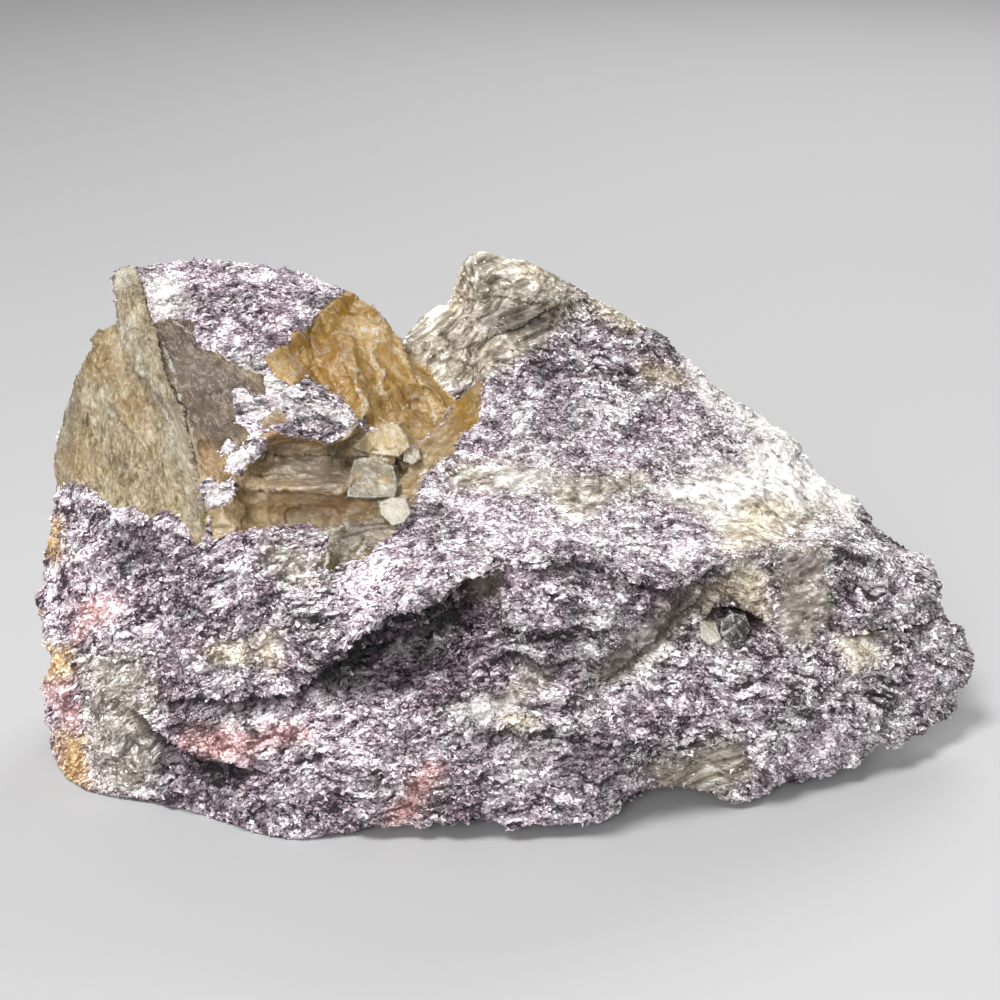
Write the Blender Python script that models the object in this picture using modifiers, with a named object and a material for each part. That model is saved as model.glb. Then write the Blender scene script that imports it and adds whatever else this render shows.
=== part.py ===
"""Lepidolite hand specimen: a block of purple mica rock with smoky and yellow quartz grown into it.

It is one solid. It rests on its flat broken base, its long side lies along X and its display side
faces -Y. The left shoulder is a quartz block under a cap of mica, and the right peak is bladed mica
and feldspar. Between them a recess holds small tabular quartz crystals. A broad sloping face of fine
mica turns down over a brow to a rough lower face with a hollow, a valley, a pit and ledges.
"""

import math

import bmesh
import bpy
from mathutils import Vector, geometry, noise

MM = 0.001

# The shape is set out as it looks from the display side, from a little above. A sighted point is
# (across, up, back) in mm. Across and up are measured in the plane that faces the eye through the
# middle of the specimen, and back is the real depth along +Y.
SIGHT_TILT = math.radians(22)
SIGHT_DISTANCE = 400
SIGHT_HEIGHT = 55

CAGE_VOXEL = 1.1
SAME_POINT = 0.05
TRIANGLES = 9400

# A crystal's root lies this deep behind its face, and is this much narrower.
CRYSTAL_ROOT = 7
CRYSTAL_TAPER = 0.8

# The broken layers: their spacing, depth, slope along X, the share of each that drops, and the size
# of the waves that bend them and break them into lengths.
LEDGE_PERIOD = 9
LEDGE_DEPTH = 1.3
LEDGE_SLOPE = 0.35
LEDGE_DROP = 0.2
LEDGE_WAVES = ((9, 26), (3, 8))
LEDGE_LENGTH = 19

# The broken faces between them, each tilted its own way.
CHIP_SIZE = 9
CHIP_TILT = 0.25
CHIP_MOST = 1.1
CHIP_WAVER = 3.5

LUMP_SIZE = 8
LUMP_DEPTH = 1.3
QUARTZ_LUMPS = 0.2

# Faces that look up carry this share of the coarse relief. The limits are of the normal's rise.
FINE_SHARE = 0.45
FINE_FACING = (0.3, 0.75)

# Round books of mica on the cap, and blades on the peak, which rise towards the right.
NODULE_SIZE = 4.2
NODULE_DEPTH = 1.3
NODULE_LEVEL = 0.55
BLADE_PERIOD = 5.5
BLADE_DEPTH = 1.2
BLADE_RISE = math.radians(27)
BLADE_WAVE = (3, 17)
BLADE_LENGTH = 11

# Stretches of the sight plane, as left, right, bottom and top: the smooth quartz, which fades out
# between two depths, the mica cap and the bladed peak.
QUARTZ_STRETCHES = ((-93, -61, 0, 44), (-64, -45, 12, 30), (-44, -10, 16, 40), (-52, -15, -3, 14))
QUARTZ_BACK = (14, 22)
CAP_STRETCH = (-69, -31, 27, 60)
CAP_EDGE = 2.5
PEAK_STRETCH = (-25, 16, 16, 60)
STRETCH_EDGE = 3

# The base is cut flat at this height, and the relief fades out between these heights above it.
BASE_CUT = 0.6
BASE_FADE = (0.5, 4)

# The outline from the display side, clockwise from the top of the left shoulder.
SHOULDER_TOP = (
    (-78.5, 47, 6), (-75.5, 47.5, 7), (-72, 47, 8), (-68, 49, 16), (-62.5, 50, 20), (-59.5, 48.5, 20),
    (-56, 49.5, 22), (-48.5, 47.5, 22), (-40, 46, 22), (-35.5, 44, 22), (-29.5, 42, 22),
    (-23, 38, 20), (-20, 33, 17),
)
PEAK_TOP = (
    (-19, 34, 25), (-15.5, 37.5, 26), (-12, 40.5, 25), (-10, 44, 22), (-7.5, 48.5, 17), (-4, 50.5, 14),
    (2, 49, 14), (8, 47.5, 16), (12, 45, 18), (17, 42.5, 20), (22.5, 39.5, 22),
)
RIGHT_SLOPE = (
    (28, 35.5, 24), (33, 32.5, 26), (37, 28.5, 27), (42.5, 24.5, 28), (48, 20, 28), (55, 15, 28),
    (60, 12.5, 28), (63.5, 6.5, 27), (69, 2, 26), (74.5, -3.5, 24), (80, -8, 20), (86.5, -11.5, 14),
    (90, -17, 8), (88.5, -21, 4), (92.5, -24.5, 6), (95.5, -29.5, 5), (94.5, -37, 2), (93, -41, -1),
)
LOWER_EDGE = (
    (89, -46, -6), (81, -49.5, -14), (70, -53.5, -18), (65.5, -56, -20), (60, -57.5, -22),
    (55, -57.5, -24), (48.5, -60, -28), (40, -58.5, -29), (31, -57.5, -30), (26.5, -60, -34),
    (20.5, -64, -38), (12, -64.5, -40), (0, -65, -41), (-12, -64, -41), (-20, -65, -40),
    (-27, -66.5, -39), (-32, -67.5, -38), (-41.5, -69, -40.5), (-47.5, -68, -38), (-56, -65, -33),
    (-62, -63, -29), (-68, -61.5, -26.5), (-76, -60.5, -24.5), (-81.5, -59.5, -23), (-85, -58, -19.5),
)
LEFT_SIDE = (
    (-88, -56, -16), (-90, -51.5, -7), (-91, -46, 0), (-91.5, -38, 5), (-92, -28, 8), (-92, -18, 10),
    (-91.5, -10.5, 12), (-90.5, -4, 13), (-88.5, 3, 14), (-89.5, 9, 14), (-89, 13.5, 14),
    (-87.5, 18, 13), (-85.5, 24, 12), (-82.5, 31, 10), (-80.5, 34.5, 9), (-77.5, 36, 4), (-78, 40.5, 5),
)
OUTLINE = SHOULDER_TOP + PEAK_TOP + RIGHT_SLOPE + LOWER_EDGE + LEFT_SIDE

# Ridges and grooves of the display side, each a line of sighted points.
QUARTZ_BLOCK = {
    "leading ridge": (
        (-73, 45.5, 4), (-71, 41, -1), (-69, 33, -8), (-66.5, 24, -14), (-64, 18, -18),
        (-62, 11, -22), (-60.5, 4, -25), (-59.5, -5.5, -29),
    ),
    "beak": ((-76, 42, 3), (-74.5, 36, -1)),
    "splinter foot": ((-75, 34, -1), (-72, 24, -7), (-69, 18.5, -12)),
    "pale panel": ((-68, 17, -14), (-66.5, 8, -19), (-67, 1, -22)),
    "outer face": ((-81.5, 23, 2), (-84, 12, 1), (-85, 4, -3)),
    "middle of face": ((-76, 12, -9), (-74, 0, -18)),
    "foot of block": ((-88, 1.5, 8), (-83.5, 1.5, -4), (-78, -1.5, -16), (-67, -4, -26), (-59, -9, -31)),
    "grey face": ((-57, 20, -14), (-59, 12, -20)),
    "grey face right": ((-46, 21, -9),),
}
MICA_CAP = {
    "lower edge": (
        (-68, 35.5, -4.5), (-64, 29.5, -6), (-59, 29, -5), (-54.5, 27.5, -6), (-49, 25.5, -6),
        (-47.5, 29.5, -1), (-42, 32.5, 3), (-36.5, 37.5, 10), (-31.5, 41.5, 18),
    ),
    "crown": ((-70, 44.5, 3), (-67, 43, 6), (-59, 40, 5), (-50, 40.5, 9), (-41, 41, 12)),
}
SHELF = {
    "top": ((-49, 25, -7), (-42, 22, -10), (-34, 19, -12), (-28.5, 16.5, -13)),
    "lip": (
        (-28.5, 15.5, -14), (-31, 11.5, -16), (-35, 10.5, -17), (-40, 12.5, -17.5), (-45, 14, -18.5),
        (-48, 11, -20), (-51, 6, -22), (-53, 2, -24), (-56, -1, -27),
    ),
    "middle": ((-37, 16, -16), (-46, 18, -14)),
}
YELLOW_QUARTZ = {
    "rib": ((-30, 41, 20), (-33, 34, 11), (-30, 27, 3), (-26.5, 16.5, -6)),
    "left face": ((-39, 30, 5), (-35.5, 24, 1), (-31, 19.5, -3)),
    "right face": ((-23, 31, 11), (-20.5, 23, 6), (-22, 17.5, 1)),
    "right edge": ((-19.5, 31, 15), (-17.5, 26.5, 10), (-14.5, 23.5, 8), (-12, 21, 6), (-9.5, 17.5, 4)),
    "foot": ((-27.5, 15, -7), (-21, 15, -5), (-17, 12, -5), (-14, 13.5, -1), (-9.5, 17, 3)),
    "dent": ((-16, 18.5, 9), (-13.5, 16.5, 6)),
    "cleft behind": ((-18, 32.5, 24), (-16.5, 27.5, 20), (-13.5, 24.5, 16), (-11, 21.5, 13), (-8.5, 18, 9)),
}
RECESS = {
    "back": ((-47.5, 8.5, -13), (-42, 9, -11), (-36, 8.5, -9), (-31, 9.5, -8)),
    "edge of the grey floor": ((-50, 2.5, -21), (-45, 1.5, -21), (-40, 1.5, -21), (-31, 1.5, -20)),
    "front gutter": ((-47.5, -3, -20), (-43, -4, -18), (-37, -5, -17), (-32, -4.5, -17), (-26, -1.5, -17)),
    "lip": (
        (-59, -7, -30), (-52, -7.5, -30), (-47.5, -5.5, -28), (-44, -5, -27.5), (-40, -6.5, -27),
        (-35.5, -7, -28), (-30, -4.5, -26.5), (-24, -2.5, -25), (-21, -5.5, -28), (-18, -2, -25),
    ),
    "right wall": ((-17, 7.5, -7), (-15, 5, -12)),
    "right wall top": ((-11, 12, -4), (-14, 8, -9)),
}
PEAK = {
    "edge towards the face": (
        (18, 39.5, 20), (13, 34, 12), (9, 30, 8), (2.5, 26, 4), (-2.5, 24.5, 1), (-3.5, 20, -1),
        (-4, 16, -4), (-8.5, 11.5, -9), (-12, 6, -14), (-16.5, 1.5, -19),
    ),
    "upper band": ((-9, 39, 24), (-4, 40.5, 14), (2, 39.5, 11), (9, 41.5, 13), (15, 42, 18)),
    "lower band": ((-17, 30, 21), (-7, 33, 14), (0, 35.5, 10), (8, 35.5, 10)),
    "foot": ((-6, 25.5, 10), (-7.5, 18, 5)),
    "crown": ((-4.5, 46, 12), (4, 45, 10)),
}
SLOPING_FACE = {
    "top row": ((20, 31, 16), (28, 25.5, 14), (38, 20, 16), (48, 14, 18), (58, 7.5, 19)),
    "second row": (
        (8, 20, 3), (18, 16, 2), (28, 12, 3), (40, 9, 7), (52, 4, 10), (64, -1.5, 12), (72, -7, 10),
    ),
    "third row": (
        (0, 9, -7), (12, 6, -8), (20, 0, -9), (30, 1.5, -5), (40, -1, -4), (50, -3, -2), (60, -7, -1),
    ),
    "fourth row": ((-10, -1, -19), (0, -3, -20), (10, -4, -19), (22, -5, -16), (34, -6, -14), (45, -7, -11)),
    "left row": ((-31, -11, -31), (-20, -9, -31), (-10, -10, -31), (0, -10, -30)),
    "brow": (
        (-40, -33, -37), (-34, -31, -40), (-29, -28, -43), (-23, -23, -45), (-17.5, -21, -46),
        (-12, -20.5, -46), (-9.5, -18, -44), (-7, -15.5, -42), (0, -15, -41), (9, -13, -38),
        (19, -12, -35), (23, -15, -32), (28, -15, -31), (34.5, -14.5, -28), (40.5, -11.5, -24),
        (48, -11, -19), (58, -9.5, -12), (68, -9.5, -7), (78, -12, -1), (85, -16.5, 1),
    ),
    "above the brow": ((-33, -20, -37), (-22, -15, -38), (-12, -15, -40)),
}
HOLLOW = {
    "upper": (
        (-36.5, -36.5, -33), (-29.5, -33, -32), (-22, -29, -30), (-14, -26.5, -29), (-8.5, -22.5, -30),
        (-3, -18.5, -34),
    ),
    "floor": ((-34, -40, -36), (-25, -38, -35), (-16, -33, -33), (-9, -28, -33), (-2, -25, -36)),
    "vein above": ((-34, -10.5, -31), (-35, -15.5, -35), (-39.5, -21, -37), (-43, -25.5, -37)),
}
LOWER_LEFT = {
    "corner": (
        (-87.5, -12, 0), (-86, -20, -8), (-85, -30, -13), (-84.5, -40, -17), (-83.5, -49, -19),
        (-83, -58, -22),
    ),
    "upper swell": ((-80, -9, -17), (-70, -14, -26), (-60, -18, -31), (-50, -16, -32)),
    "middle": ((-76, -26, -23), (-66, -28, -29), (-54, -28, -34), (-46, -31, -37)),
    "below middle": ((-78, -38, -23), (-70, -40, -28)),
    "foot": ((-79, -50, -23), (-75, -54, -25), (-79, -58, -23.5)),
    "ledge": ((-72, -45.5, -29), (-66, -44.5, -32), (-59, -41, -35), (-51, -40, -37), (-43, -38, -38)),
    "under the ledge": (
        (-71, -48.5, -26), (-64, -47.5, -28), (-57, -45, -32), (-48, -42.5, -35), (-40, -41, -36),
    ),
    "lower shelf": (
        (-70, -52.5, -29), (-62, -50.5, -33), (-53, -50, -37), (-44, -48, -39), (-34, -47, -40),
    ),
    "skirt": ((-62, -57, -32), (-52, -58, -37)),
}
LOWER_MIDDLE = {
    "upper": ((-24, -45, -41), (-14, -40, -40), (-4, -36, -40), (4, -28, -39)),
    "skirt": ((-34, -58, -41), (-20, -56, -43), (-8, -54, -43), (6, -54, -43), (18, -55, -41)),
    "middle": ((-10, -47, -43), (4, -44, -42), (16, -44, -40)),
    "bulge": ((0, -22, -41), (12, -21, -40), (22, -22, -37), (31, -20.5, -33)),
    "valley": (
        (43.5, -15.5, -22), (38, -21, -25), (32, -27, -28), (26, -32.5, -31), (18, -34.5, -33),
        (9, -33, -35), (5, -34.5, -35), (1, -42.5, -39),
    ),
    "below the valley": ((38, -28, -28), (31, -33.5, -33), (24, -39, -36), (14, -38, -38)),
}
LOWER_RIGHT = {
    "pit rim": (
        (41, -22.5, -24), (44.5, -18, -20), (48, -15.5, -17), (52.5, -20, -16), (53, -24.5, -18),
        (49, -29, -26), (43, -28.5, -27), (40.5, -26, -27),
    ),
    "pit": ((45.5, -23.5, -14), (49.5, -25.5, -15)),
    "above the ledge": ((60, -18, -14), (70, -20, -10)),
    "ledge": ((71, -23.5, -11), (78, -23, -7), (86, -23.5, -2)),
    "under the ledge": ((70, -25.5, -9), (78, -25.5, -4), (86.5, -25.5, 0)),
    "swell": ((62, -28, -19), (72, -30, -14), (81, -31, -9), (89, -32, -2)),
    "lower swell": ((52, -38, -29), (63, -40, -25), (74, -40, -18), (85, -40, -8)),
    "skirt": (
        (31, -43, -37), (28, -48, -38), (40, -44, -34), (52, -48, -31), (64, -49, -25), (74, -47, -18),
    ),
    "blades": ((34, -52, -33), (40, -50.5, -33), (47, -52, -31)),
    "under the blades": ((38, -55, -30), (47, -55.5, -28)),
    "foot": ((56, -54, -27),),
}
DISPLAY_SIDE = (
    QUARTZ_BLOCK, MICA_CAP, SHELF, YELLOW_QUARTZ, RECESS, PEAK, SLOPING_FACE, HOLLOW, LOWER_LEFT,
    LOWER_MIDDLE, LOWER_RIGHT,
)

# The hidden side, as real points (x, y, z) in mm: the outline of the base and the ridges above it.
BASE = (
    (-84, -8, 0), (-86, 8, 0), (-76, 28, 0), (-45, 37, 0), (-5, 36, 0), (28, 30, 0), (44, 12, 0),
    (43, -8, 0), (20, -22, 0), (-8, -29, 0), (-29, -34, 0), (-58, -24, 0),
)
BACK_RIDGES = (
    ((-89, 24, 22), (-86, 29, 50), (-78, 31, 74)),
    ((-46, 44, 28), (-44, 41, 62), (-42, 34, 84)),
    ((2, 45, 30), (-14, 38, 58), (-17, 33, 76)),
    ((46, 40, 26), (34, 40, 58), (22, 34, 80)),
    ((78, 24, 22), (66, 37, 44), (54, 36, 60)),
    ((88, 8, 16),),
    ((66, 4, 7),),
    ((60, 26, 10),),
)

# Crystals that stand out of the rock, each the hull of these sighted points and of their roots.
CRYSTALS = {
    "splinter": (
        (-75.5, 35, -3), (-71, 34, -7.5), (-68.5, 25, -14), (-67, 18.5, -15.5), (-70, 18, -13),
        (-73, 26, -8),
    ),
    "lozenge": (
        (-29, 11, -8), (-26.5, 13, -9), (-23, 15, -9), (-20.5, 15, -9), (-18.5, 11, -11.5), (-22, 9, -13),
    ),
    "cream veined": (
        (-28.5, 8, -13), (-22.5, 7.5, -13.5), (-21, 3, -19), (-21.5, 0.5, -21), (-30.5, 0.5, -21),
        (-29.5, 5, -17),
    ),
    "clear": ((-19, 10.5, -9.5), (-16.5, 10.5, -9), (-16, 8.5, -11), (-19, 7.5, -12)),
    "grey floor block": (
        (-31.5, 8, -12), (-38, 7, -13), (-45, 7.5, -15), (-48, 3, -20), (-40, 2, -22), (-31.5, 2.5, -21),
    ),
    "block by the wall": ((-19, 6, -13), (-16, 6.5, -11), (-15.5, 1.5, -17), (-19, 0.5, -19)),
    "nub": ((-24, 0, -25), (-19, 0, -24), (-18, -3, -27), (-21, -5, -29), (-23.5, -3, -27.5)),
    "amber step": (
        (-33, 33, 8), (-30, 34, 9), (-27.5, 25, 2), (-25.5, 17, -7), (-27.5, 17, -8), (-31, 26, 1),
    ),
}


def sighted(point):
    """The real place, in mm, of a sighted point."""
    across, up, back = point
    slope = up / SIGHT_DISTANCE
    reach = SIGHT_DISTANCE + back * math.cos(SIGHT_TILT)
    rise = slope * reach - back * math.sin(SIGHT_TILT)
    height = rise / (math.cos(SIGHT_TILT) + slope * math.sin(SIGHT_TILT))
    distance = reach - height * math.sin(SIGHT_TILT)
    return Vector((across * distance / SIGHT_DISTANCE, back, height + SIGHT_HEIGHT))


def in_sight_plane(point):
    """Where a real point appears in the sight plane."""
    height = point.z - SIGHT_HEIGHT
    distance = SIGHT_DISTANCE + point.y * math.cos(SIGHT_TILT) - height * math.sin(SIGHT_TILT)
    rise = point.y * math.sin(SIGHT_TILT) + height * math.cos(SIGHT_TILT)
    return Vector((point.x, rise)) * (SIGHT_DISTANCE / distance)


def sheet(outline, lines):
    """A net of triangles in the sight plane, inside the outline and with every line as an edge."""
    points = list(outline)
    edges = []
    for line in lines:
        places = []
        for point in line:
            near = [i for i, other in enumerate(points) if (other - point).length < SAME_POINT]
            places.append(near[0] if near else len(points))
            if not near:
                points.append(point)
        edges += zip(places, places[1:])
    flat = [in_sight_plane(point) for point in points]
    _, _, faces, origins, _, _ = geometry.delaunay_2d_cdt(
        flat, edges, [list(range(len(outline)))], 1, SAME_POINT * MM)
    assert all(origins), "two lines cross"
    return [points[origin[0]] for origin in origins], faces


def add_sheet(bm, points, faces):
    verts = [bm.verts.new(point * MM) for point in points]
    for face in faces:
        bm.faces.new([verts[i] for i in face])


def add_crystal(bm, points):
    """A hull through the crystal's corners and their roots, which lie straight behind them."""
    front = [sighted(point) for point in points]
    middle = sum(front, Vector()) / len(front)
    inward = Vector((0, math.cos(SIGHT_TILT), -math.sin(SIGHT_TILT))) * CRYSTAL_ROOT
    roots = [middle.lerp(point, CRYSTAL_TAPER) + inward for point in front]
    verts = [bm.verts.new(point * MM) for point in front + roots]
    hull = bmesh.ops.convex_hull(bm, input=verts)
    spare = [v for v in hull["geom_interior"] + hull["geom_unused"] if isinstance(v, bmesh.types.BMVert)]
    bmesh.ops.delete(bm, geom=list(set(spare)), context="VERTS")


def cage():
    """The rough closed block between the two sheets, with the crystals set in it."""
    outline = [sighted(point) for point in OUTLINE]
    front = [[sighted(point) for point in line] for side in DISPLAY_SIDE for line in side.values()]
    back = [[Vector(point) for point in line] for line in (BASE + BASE[:1],) + BACK_RIDGES]
    bm = bmesh.new()
    add_sheet(bm, *sheet(outline, front))
    add_sheet(bm, *sheet(outline, back))
    bmesh.ops.remove_doubles(bm, verts=bm.verts, dist=SAME_POINT * MM)
    bmesh.ops.recalc_face_normals(bm, faces=bm.faces)
    for points in CRYSTALS.values():
        add_crystal(bm, points)
    mesh = bpy.data.meshes.new("cage")
    bm.to_mesh(mesh)
    bm.free()
    return mesh


def evaluated(obj):
    """The object's mesh as its modifiers leave it, in place of the one that it had."""
    graph = bpy.context.evaluated_depsgraph_get()
    graph.update()
    mesh = bpy.data.meshes.new_from_object(obj.evaluated_get(graph))
    obj.modifiers.clear()
    obj.data = mesh


def fused(obj):
    """One skin over the block and its crystals."""
    remesh = obj.modifiers.new("fuse", "REMESH")
    remesh.mode = "VOXEL"
    remesh.voxel_size = CAGE_VOXEL * MM
    evaluated(obj)


def ramp(value, low, high):
    """0 below low, 1 above high, and a smooth step between."""
    t = min(max((value - low) / (high - low), 0), 1)
    return t * t * (3 - 2 * t)


def inside(spot, stretch, edge=STRETCH_EDGE):
    """1 inside a stretch of the sight plane and 0 outside it, with a soft edge."""
    x, y = spot
    left, right, bottom, top = stretch
    across = ramp(x, left - edge, left + edge) * (1 - ramp(x, right - edge, right + edge))
    return across * ramp(y, bottom - edge, bottom + edge) * (1 - ramp(y, top - edge, top + edge))


def quartz_share(spot, back):
    """How far a place on the display side is smooth quartz."""
    return max(inside(spot, stretch) for stretch in QUARTZ_STRETCHES) * (1 - ramp(back, *QUARTZ_BACK))


def nodules(place):
    """Round lumps of mica books, packed side by side."""
    gap = noise.voronoi(place / NODULE_SIZE)[0][0]
    return NODULE_DEPTH * (NODULE_LEVEL - gap)


def blades(place):
    """Parallel blades that rise towards the right, broken into lengths."""
    height, size = BLADE_WAVE
    level = place.z * math.cos(BLADE_RISE) - place.x * math.sin(BLADE_RISE)
    level += height * noise.noise(place / size)
    step = (level / BLADE_PERIOD) % 1
    return BLADE_DEPTH * (step - 0.5) * (0.6 + noise.noise(place / BLADE_LENGTH))


def ledges(place):
    """Broken layers: each rises slowly and ends in a short drop that faces down."""
    level = place.z + LEDGE_SLOPE * place.x
    for height, size in LEDGE_WAVES:
        level += height * noise.noise(place / size)
    step = (level / LEDGE_PERIOD) % 1
    rise = 1 - step if step > LEDGE_DROP else step * (1 / LEDGE_DROP - 1)
    broken = 0.7 + 0.9 * noise.noise(place / LEDGE_LENGTH + Vector((7, 3, 1)))
    return LEDGE_DEPTH * (rise - 0.5) * broken


def drift(place):
    """A smooth noise vector."""
    return Vector([noise.noise(place + Vector((0, 0, 31 * i))) for i in range(3)])


def chips(place):
    """Broken faces a few mm across, each tilted its own way, with small steps between them."""
    spot = place + CHIP_WAVER * drift(place / CHIP_SIZE * 2)
    seed = noise.voronoi(spot / CHIP_SIZE)[1][0] * CHIP_SIZE
    tilt = drift(seed * 0.37) * 2 * CHIP_TILT
    return min(max(tilt.dot(place - seed), -CHIP_MOST), CHIP_MOST)


def lumps(place):
    return LUMP_DEPTH * (noise.noise(place / LUMP_SIZE) + 0.5 * noise.noise(place / (LUMP_SIZE / 2.2)))


def relief(place, facing):
    """How far the surface stands out at a real place, in mm. Broken faces that look up are finer."""
    spot = in_sight_plane(place)
    quartz = quartz_share(spot, place.y)
    cap = inside(spot, CAP_STRETCH, CAP_EDGE) * (1 - quartz)
    peak = inside(spot, PEAK_STRETCH) * (1 - quartz)
    plain = (1 - quartz) * (1 - cap) * (1 - peak)
    coarse = 1 - (1 - FINE_SHARE) * ramp(facing.z, *FINE_FACING)
    return (
        cap * nodules(place)
        + peak * blades(place)
        + plain * coarse * (chips(place) + ledges(place) + lumps(place))
        + QUARTZ_LUMPS * quartz * lumps(place)
    )


def sculpt(mesh):
    """Raises and sinks the skin along its normals, and leaves the base flat."""
    moves = [
        vert.normal * relief(vert.co / MM, vert.normal) * ramp(vert.co.z / MM, *BASE_FADE) * MM
        for vert in mesh.vertices
    ]
    for vert, move in zip(mesh.vertices, moves):
        vert.co += move


def simplified(obj):
    """The skin on few enough triangles that its flat faces and ridges stay."""
    decimate = obj.modifiers.new("simplify", "DECIMATE")
    decimate.ratio = TRIANGLES / (2 * len(obj.data.polygons))
    decimate.use_collapse_triangulate = True
    evaluated(obj)


def rest_on_base(mesh):
    """Cuts the base flat, and puts the middle of its bounding box over the origin."""
    bm = bmesh.new()
    bm.from_mesh(mesh)
    everything = bm.verts[:] + bm.edges[:] + bm.faces[:]
    cut = bmesh.ops.bisect_plane(
        bm, geom=everything, plane_co=(0, 0, BASE_CUT * MM), plane_no=(0, 0, 1), clear_inner=True)
    rim = [edge for edge in cut["geom_cut"] if isinstance(edge, bmesh.types.BMEdge)]
    bmesh.ops.triangle_fill(bm, edges=rim, use_beauty=True)
    bmesh.ops.recalc_face_normals(bm, faces=bm.faces)
    low = Vector(min(v.co[i] for v in bm.verts) for i in range(3))
    high = Vector(max(v.co[i] for v in bm.verts) for i in range(3))
    shift = Vector((-(low.x + high.x) / 2, -(low.y + high.y) / 2, -low.z))
    bmesh.ops.translate(bm, verts=bm.verts, vec=shift)
    bm.to_mesh(mesh)
    bm.free()


def mica_rock():
    material = bpy.data.materials.new("mica rock")
    material.use_nodes = True
    shader = material.node_tree.nodes["Principled BSDF"]
    shader.inputs["Base Color"].default_value = (0.27, 0.20, 0.28, 1)
    shader.inputs["Roughness"].default_value = 0.55
    shader.inputs["Metallic"].default_value = 0
    return material


def specimen():
    obj = bpy.data.objects.new("lepidolite_specimen", cage())
    collection = bpy.data.collections.new("lepidolite specimen")
    bpy.context.scene.collection.children.link(collection)
    collection.objects.link(obj)
    fused(obj)
    sculpt(obj.data)
    simplified(obj)
    rest_on_base(obj.data)
    obj.data.name = "lepidolite_specimen"
    obj.data.materials.clear()
    obj.data.materials.append(mica_rock())
    return obj


for old in list(bpy.data.objects):
    bpy.data.objects.remove(old)
specimen()
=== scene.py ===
"""Lepidolite specimen: the fine surface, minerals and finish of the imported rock."""

import math

import bmesh
import bpy
import numpy as np
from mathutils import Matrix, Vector


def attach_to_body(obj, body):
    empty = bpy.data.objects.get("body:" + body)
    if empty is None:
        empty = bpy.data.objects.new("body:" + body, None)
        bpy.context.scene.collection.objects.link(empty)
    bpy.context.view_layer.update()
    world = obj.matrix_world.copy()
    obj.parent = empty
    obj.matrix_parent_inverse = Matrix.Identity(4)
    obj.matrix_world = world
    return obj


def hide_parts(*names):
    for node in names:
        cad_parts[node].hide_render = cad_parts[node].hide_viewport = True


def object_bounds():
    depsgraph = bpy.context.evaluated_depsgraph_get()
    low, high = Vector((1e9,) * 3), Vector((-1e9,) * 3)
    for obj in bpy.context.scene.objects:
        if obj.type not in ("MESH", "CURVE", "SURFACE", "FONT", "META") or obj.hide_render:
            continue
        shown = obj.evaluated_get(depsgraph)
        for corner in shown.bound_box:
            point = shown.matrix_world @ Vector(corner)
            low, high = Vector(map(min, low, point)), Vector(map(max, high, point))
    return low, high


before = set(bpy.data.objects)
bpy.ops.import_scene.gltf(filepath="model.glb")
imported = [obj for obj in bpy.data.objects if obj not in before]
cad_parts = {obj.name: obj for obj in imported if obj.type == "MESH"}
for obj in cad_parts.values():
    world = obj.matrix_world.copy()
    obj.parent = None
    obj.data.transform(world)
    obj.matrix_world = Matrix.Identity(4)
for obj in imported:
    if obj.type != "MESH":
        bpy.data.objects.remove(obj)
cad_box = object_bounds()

MM = 0.001

# The camera looks at the display side from a little above. Places on that side are given as it
# sees them, in mm across and up the plane that faces it through the middle of the specimen.
SIGHT_TILT = math.radians(22)
SIGHT_DISTANCE = 400
SIGHT_CENTRE = Vector((-0.98, 0.46, 54.4))
FRAME_WIDTH = 200

lens = bpy.data.cameras.new("camera")
lens.sensor_width = 36
lens.lens = lens.sensor_width * SIGHT_DISTANCE / FRAME_WIDTH
camera = bpy.data.objects.new("camera", lens)
bpy.context.scene.collection.objects.link(camera)
towards_eye = Vector((0, -math.cos(SIGHT_TILT), math.sin(SIGHT_TILT)))
camera.location = (SIGHT_CENTRE + towards_eye * SIGHT_DISTANCE) * MM
camera.rotation_euler = (-towards_eye).to_track_quat("-Z", "Y").to_euler()
bpy.context.scene.camera = camera
bpy.context.scene.view_settings.view_transform = "Standard"


def seen_at(places):
    """Where an array of real places, in mm, appears across and up the sight plane."""
    x, y, z = (places - np.array(SIGHT_CENTRE)).T
    distance = SIGHT_DISTANCE + y * math.cos(SIGHT_TILT) - z * math.sin(SIGHT_TILT)
    rise = y * math.sin(SIGHT_TILT) + z * math.cos(SIGHT_TILT)
    return np.stack([x, rise], 1) * (SIGHT_DISTANCE / distance)[:, None]


# A plain pale floor, and soft studio light: one large key lamp above and to the left, a wide low
# lamp in front, and one behind for the far side.
FLOOR_SIZE = 8
FLOOR_COLOUR = (0.42, 0.42, 0.425, 1)
FLOOR_ROUGHNESS = 0.7
ROOM_COLOUR = (1, 0.98, 0.97, 1)
ROOM_LIGHT = 0.3
LAMPS = {
    # name: place in metres, size in metres, power in watts
    "key lamp": ((-0.3, -0.4, 1.0), 0.3, 12.8),
    "front lamp": ((-0.25, -1.0, 0.5), 0.5, 8),
    "back lamp": ((0.3, 0.9, 0.8), 0.6, 7),
}


def add_object(name, data):
    obj = bpy.data.objects.new(name, data)
    bpy.context.scene.collection.objects.link(obj)
    return obj


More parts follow.
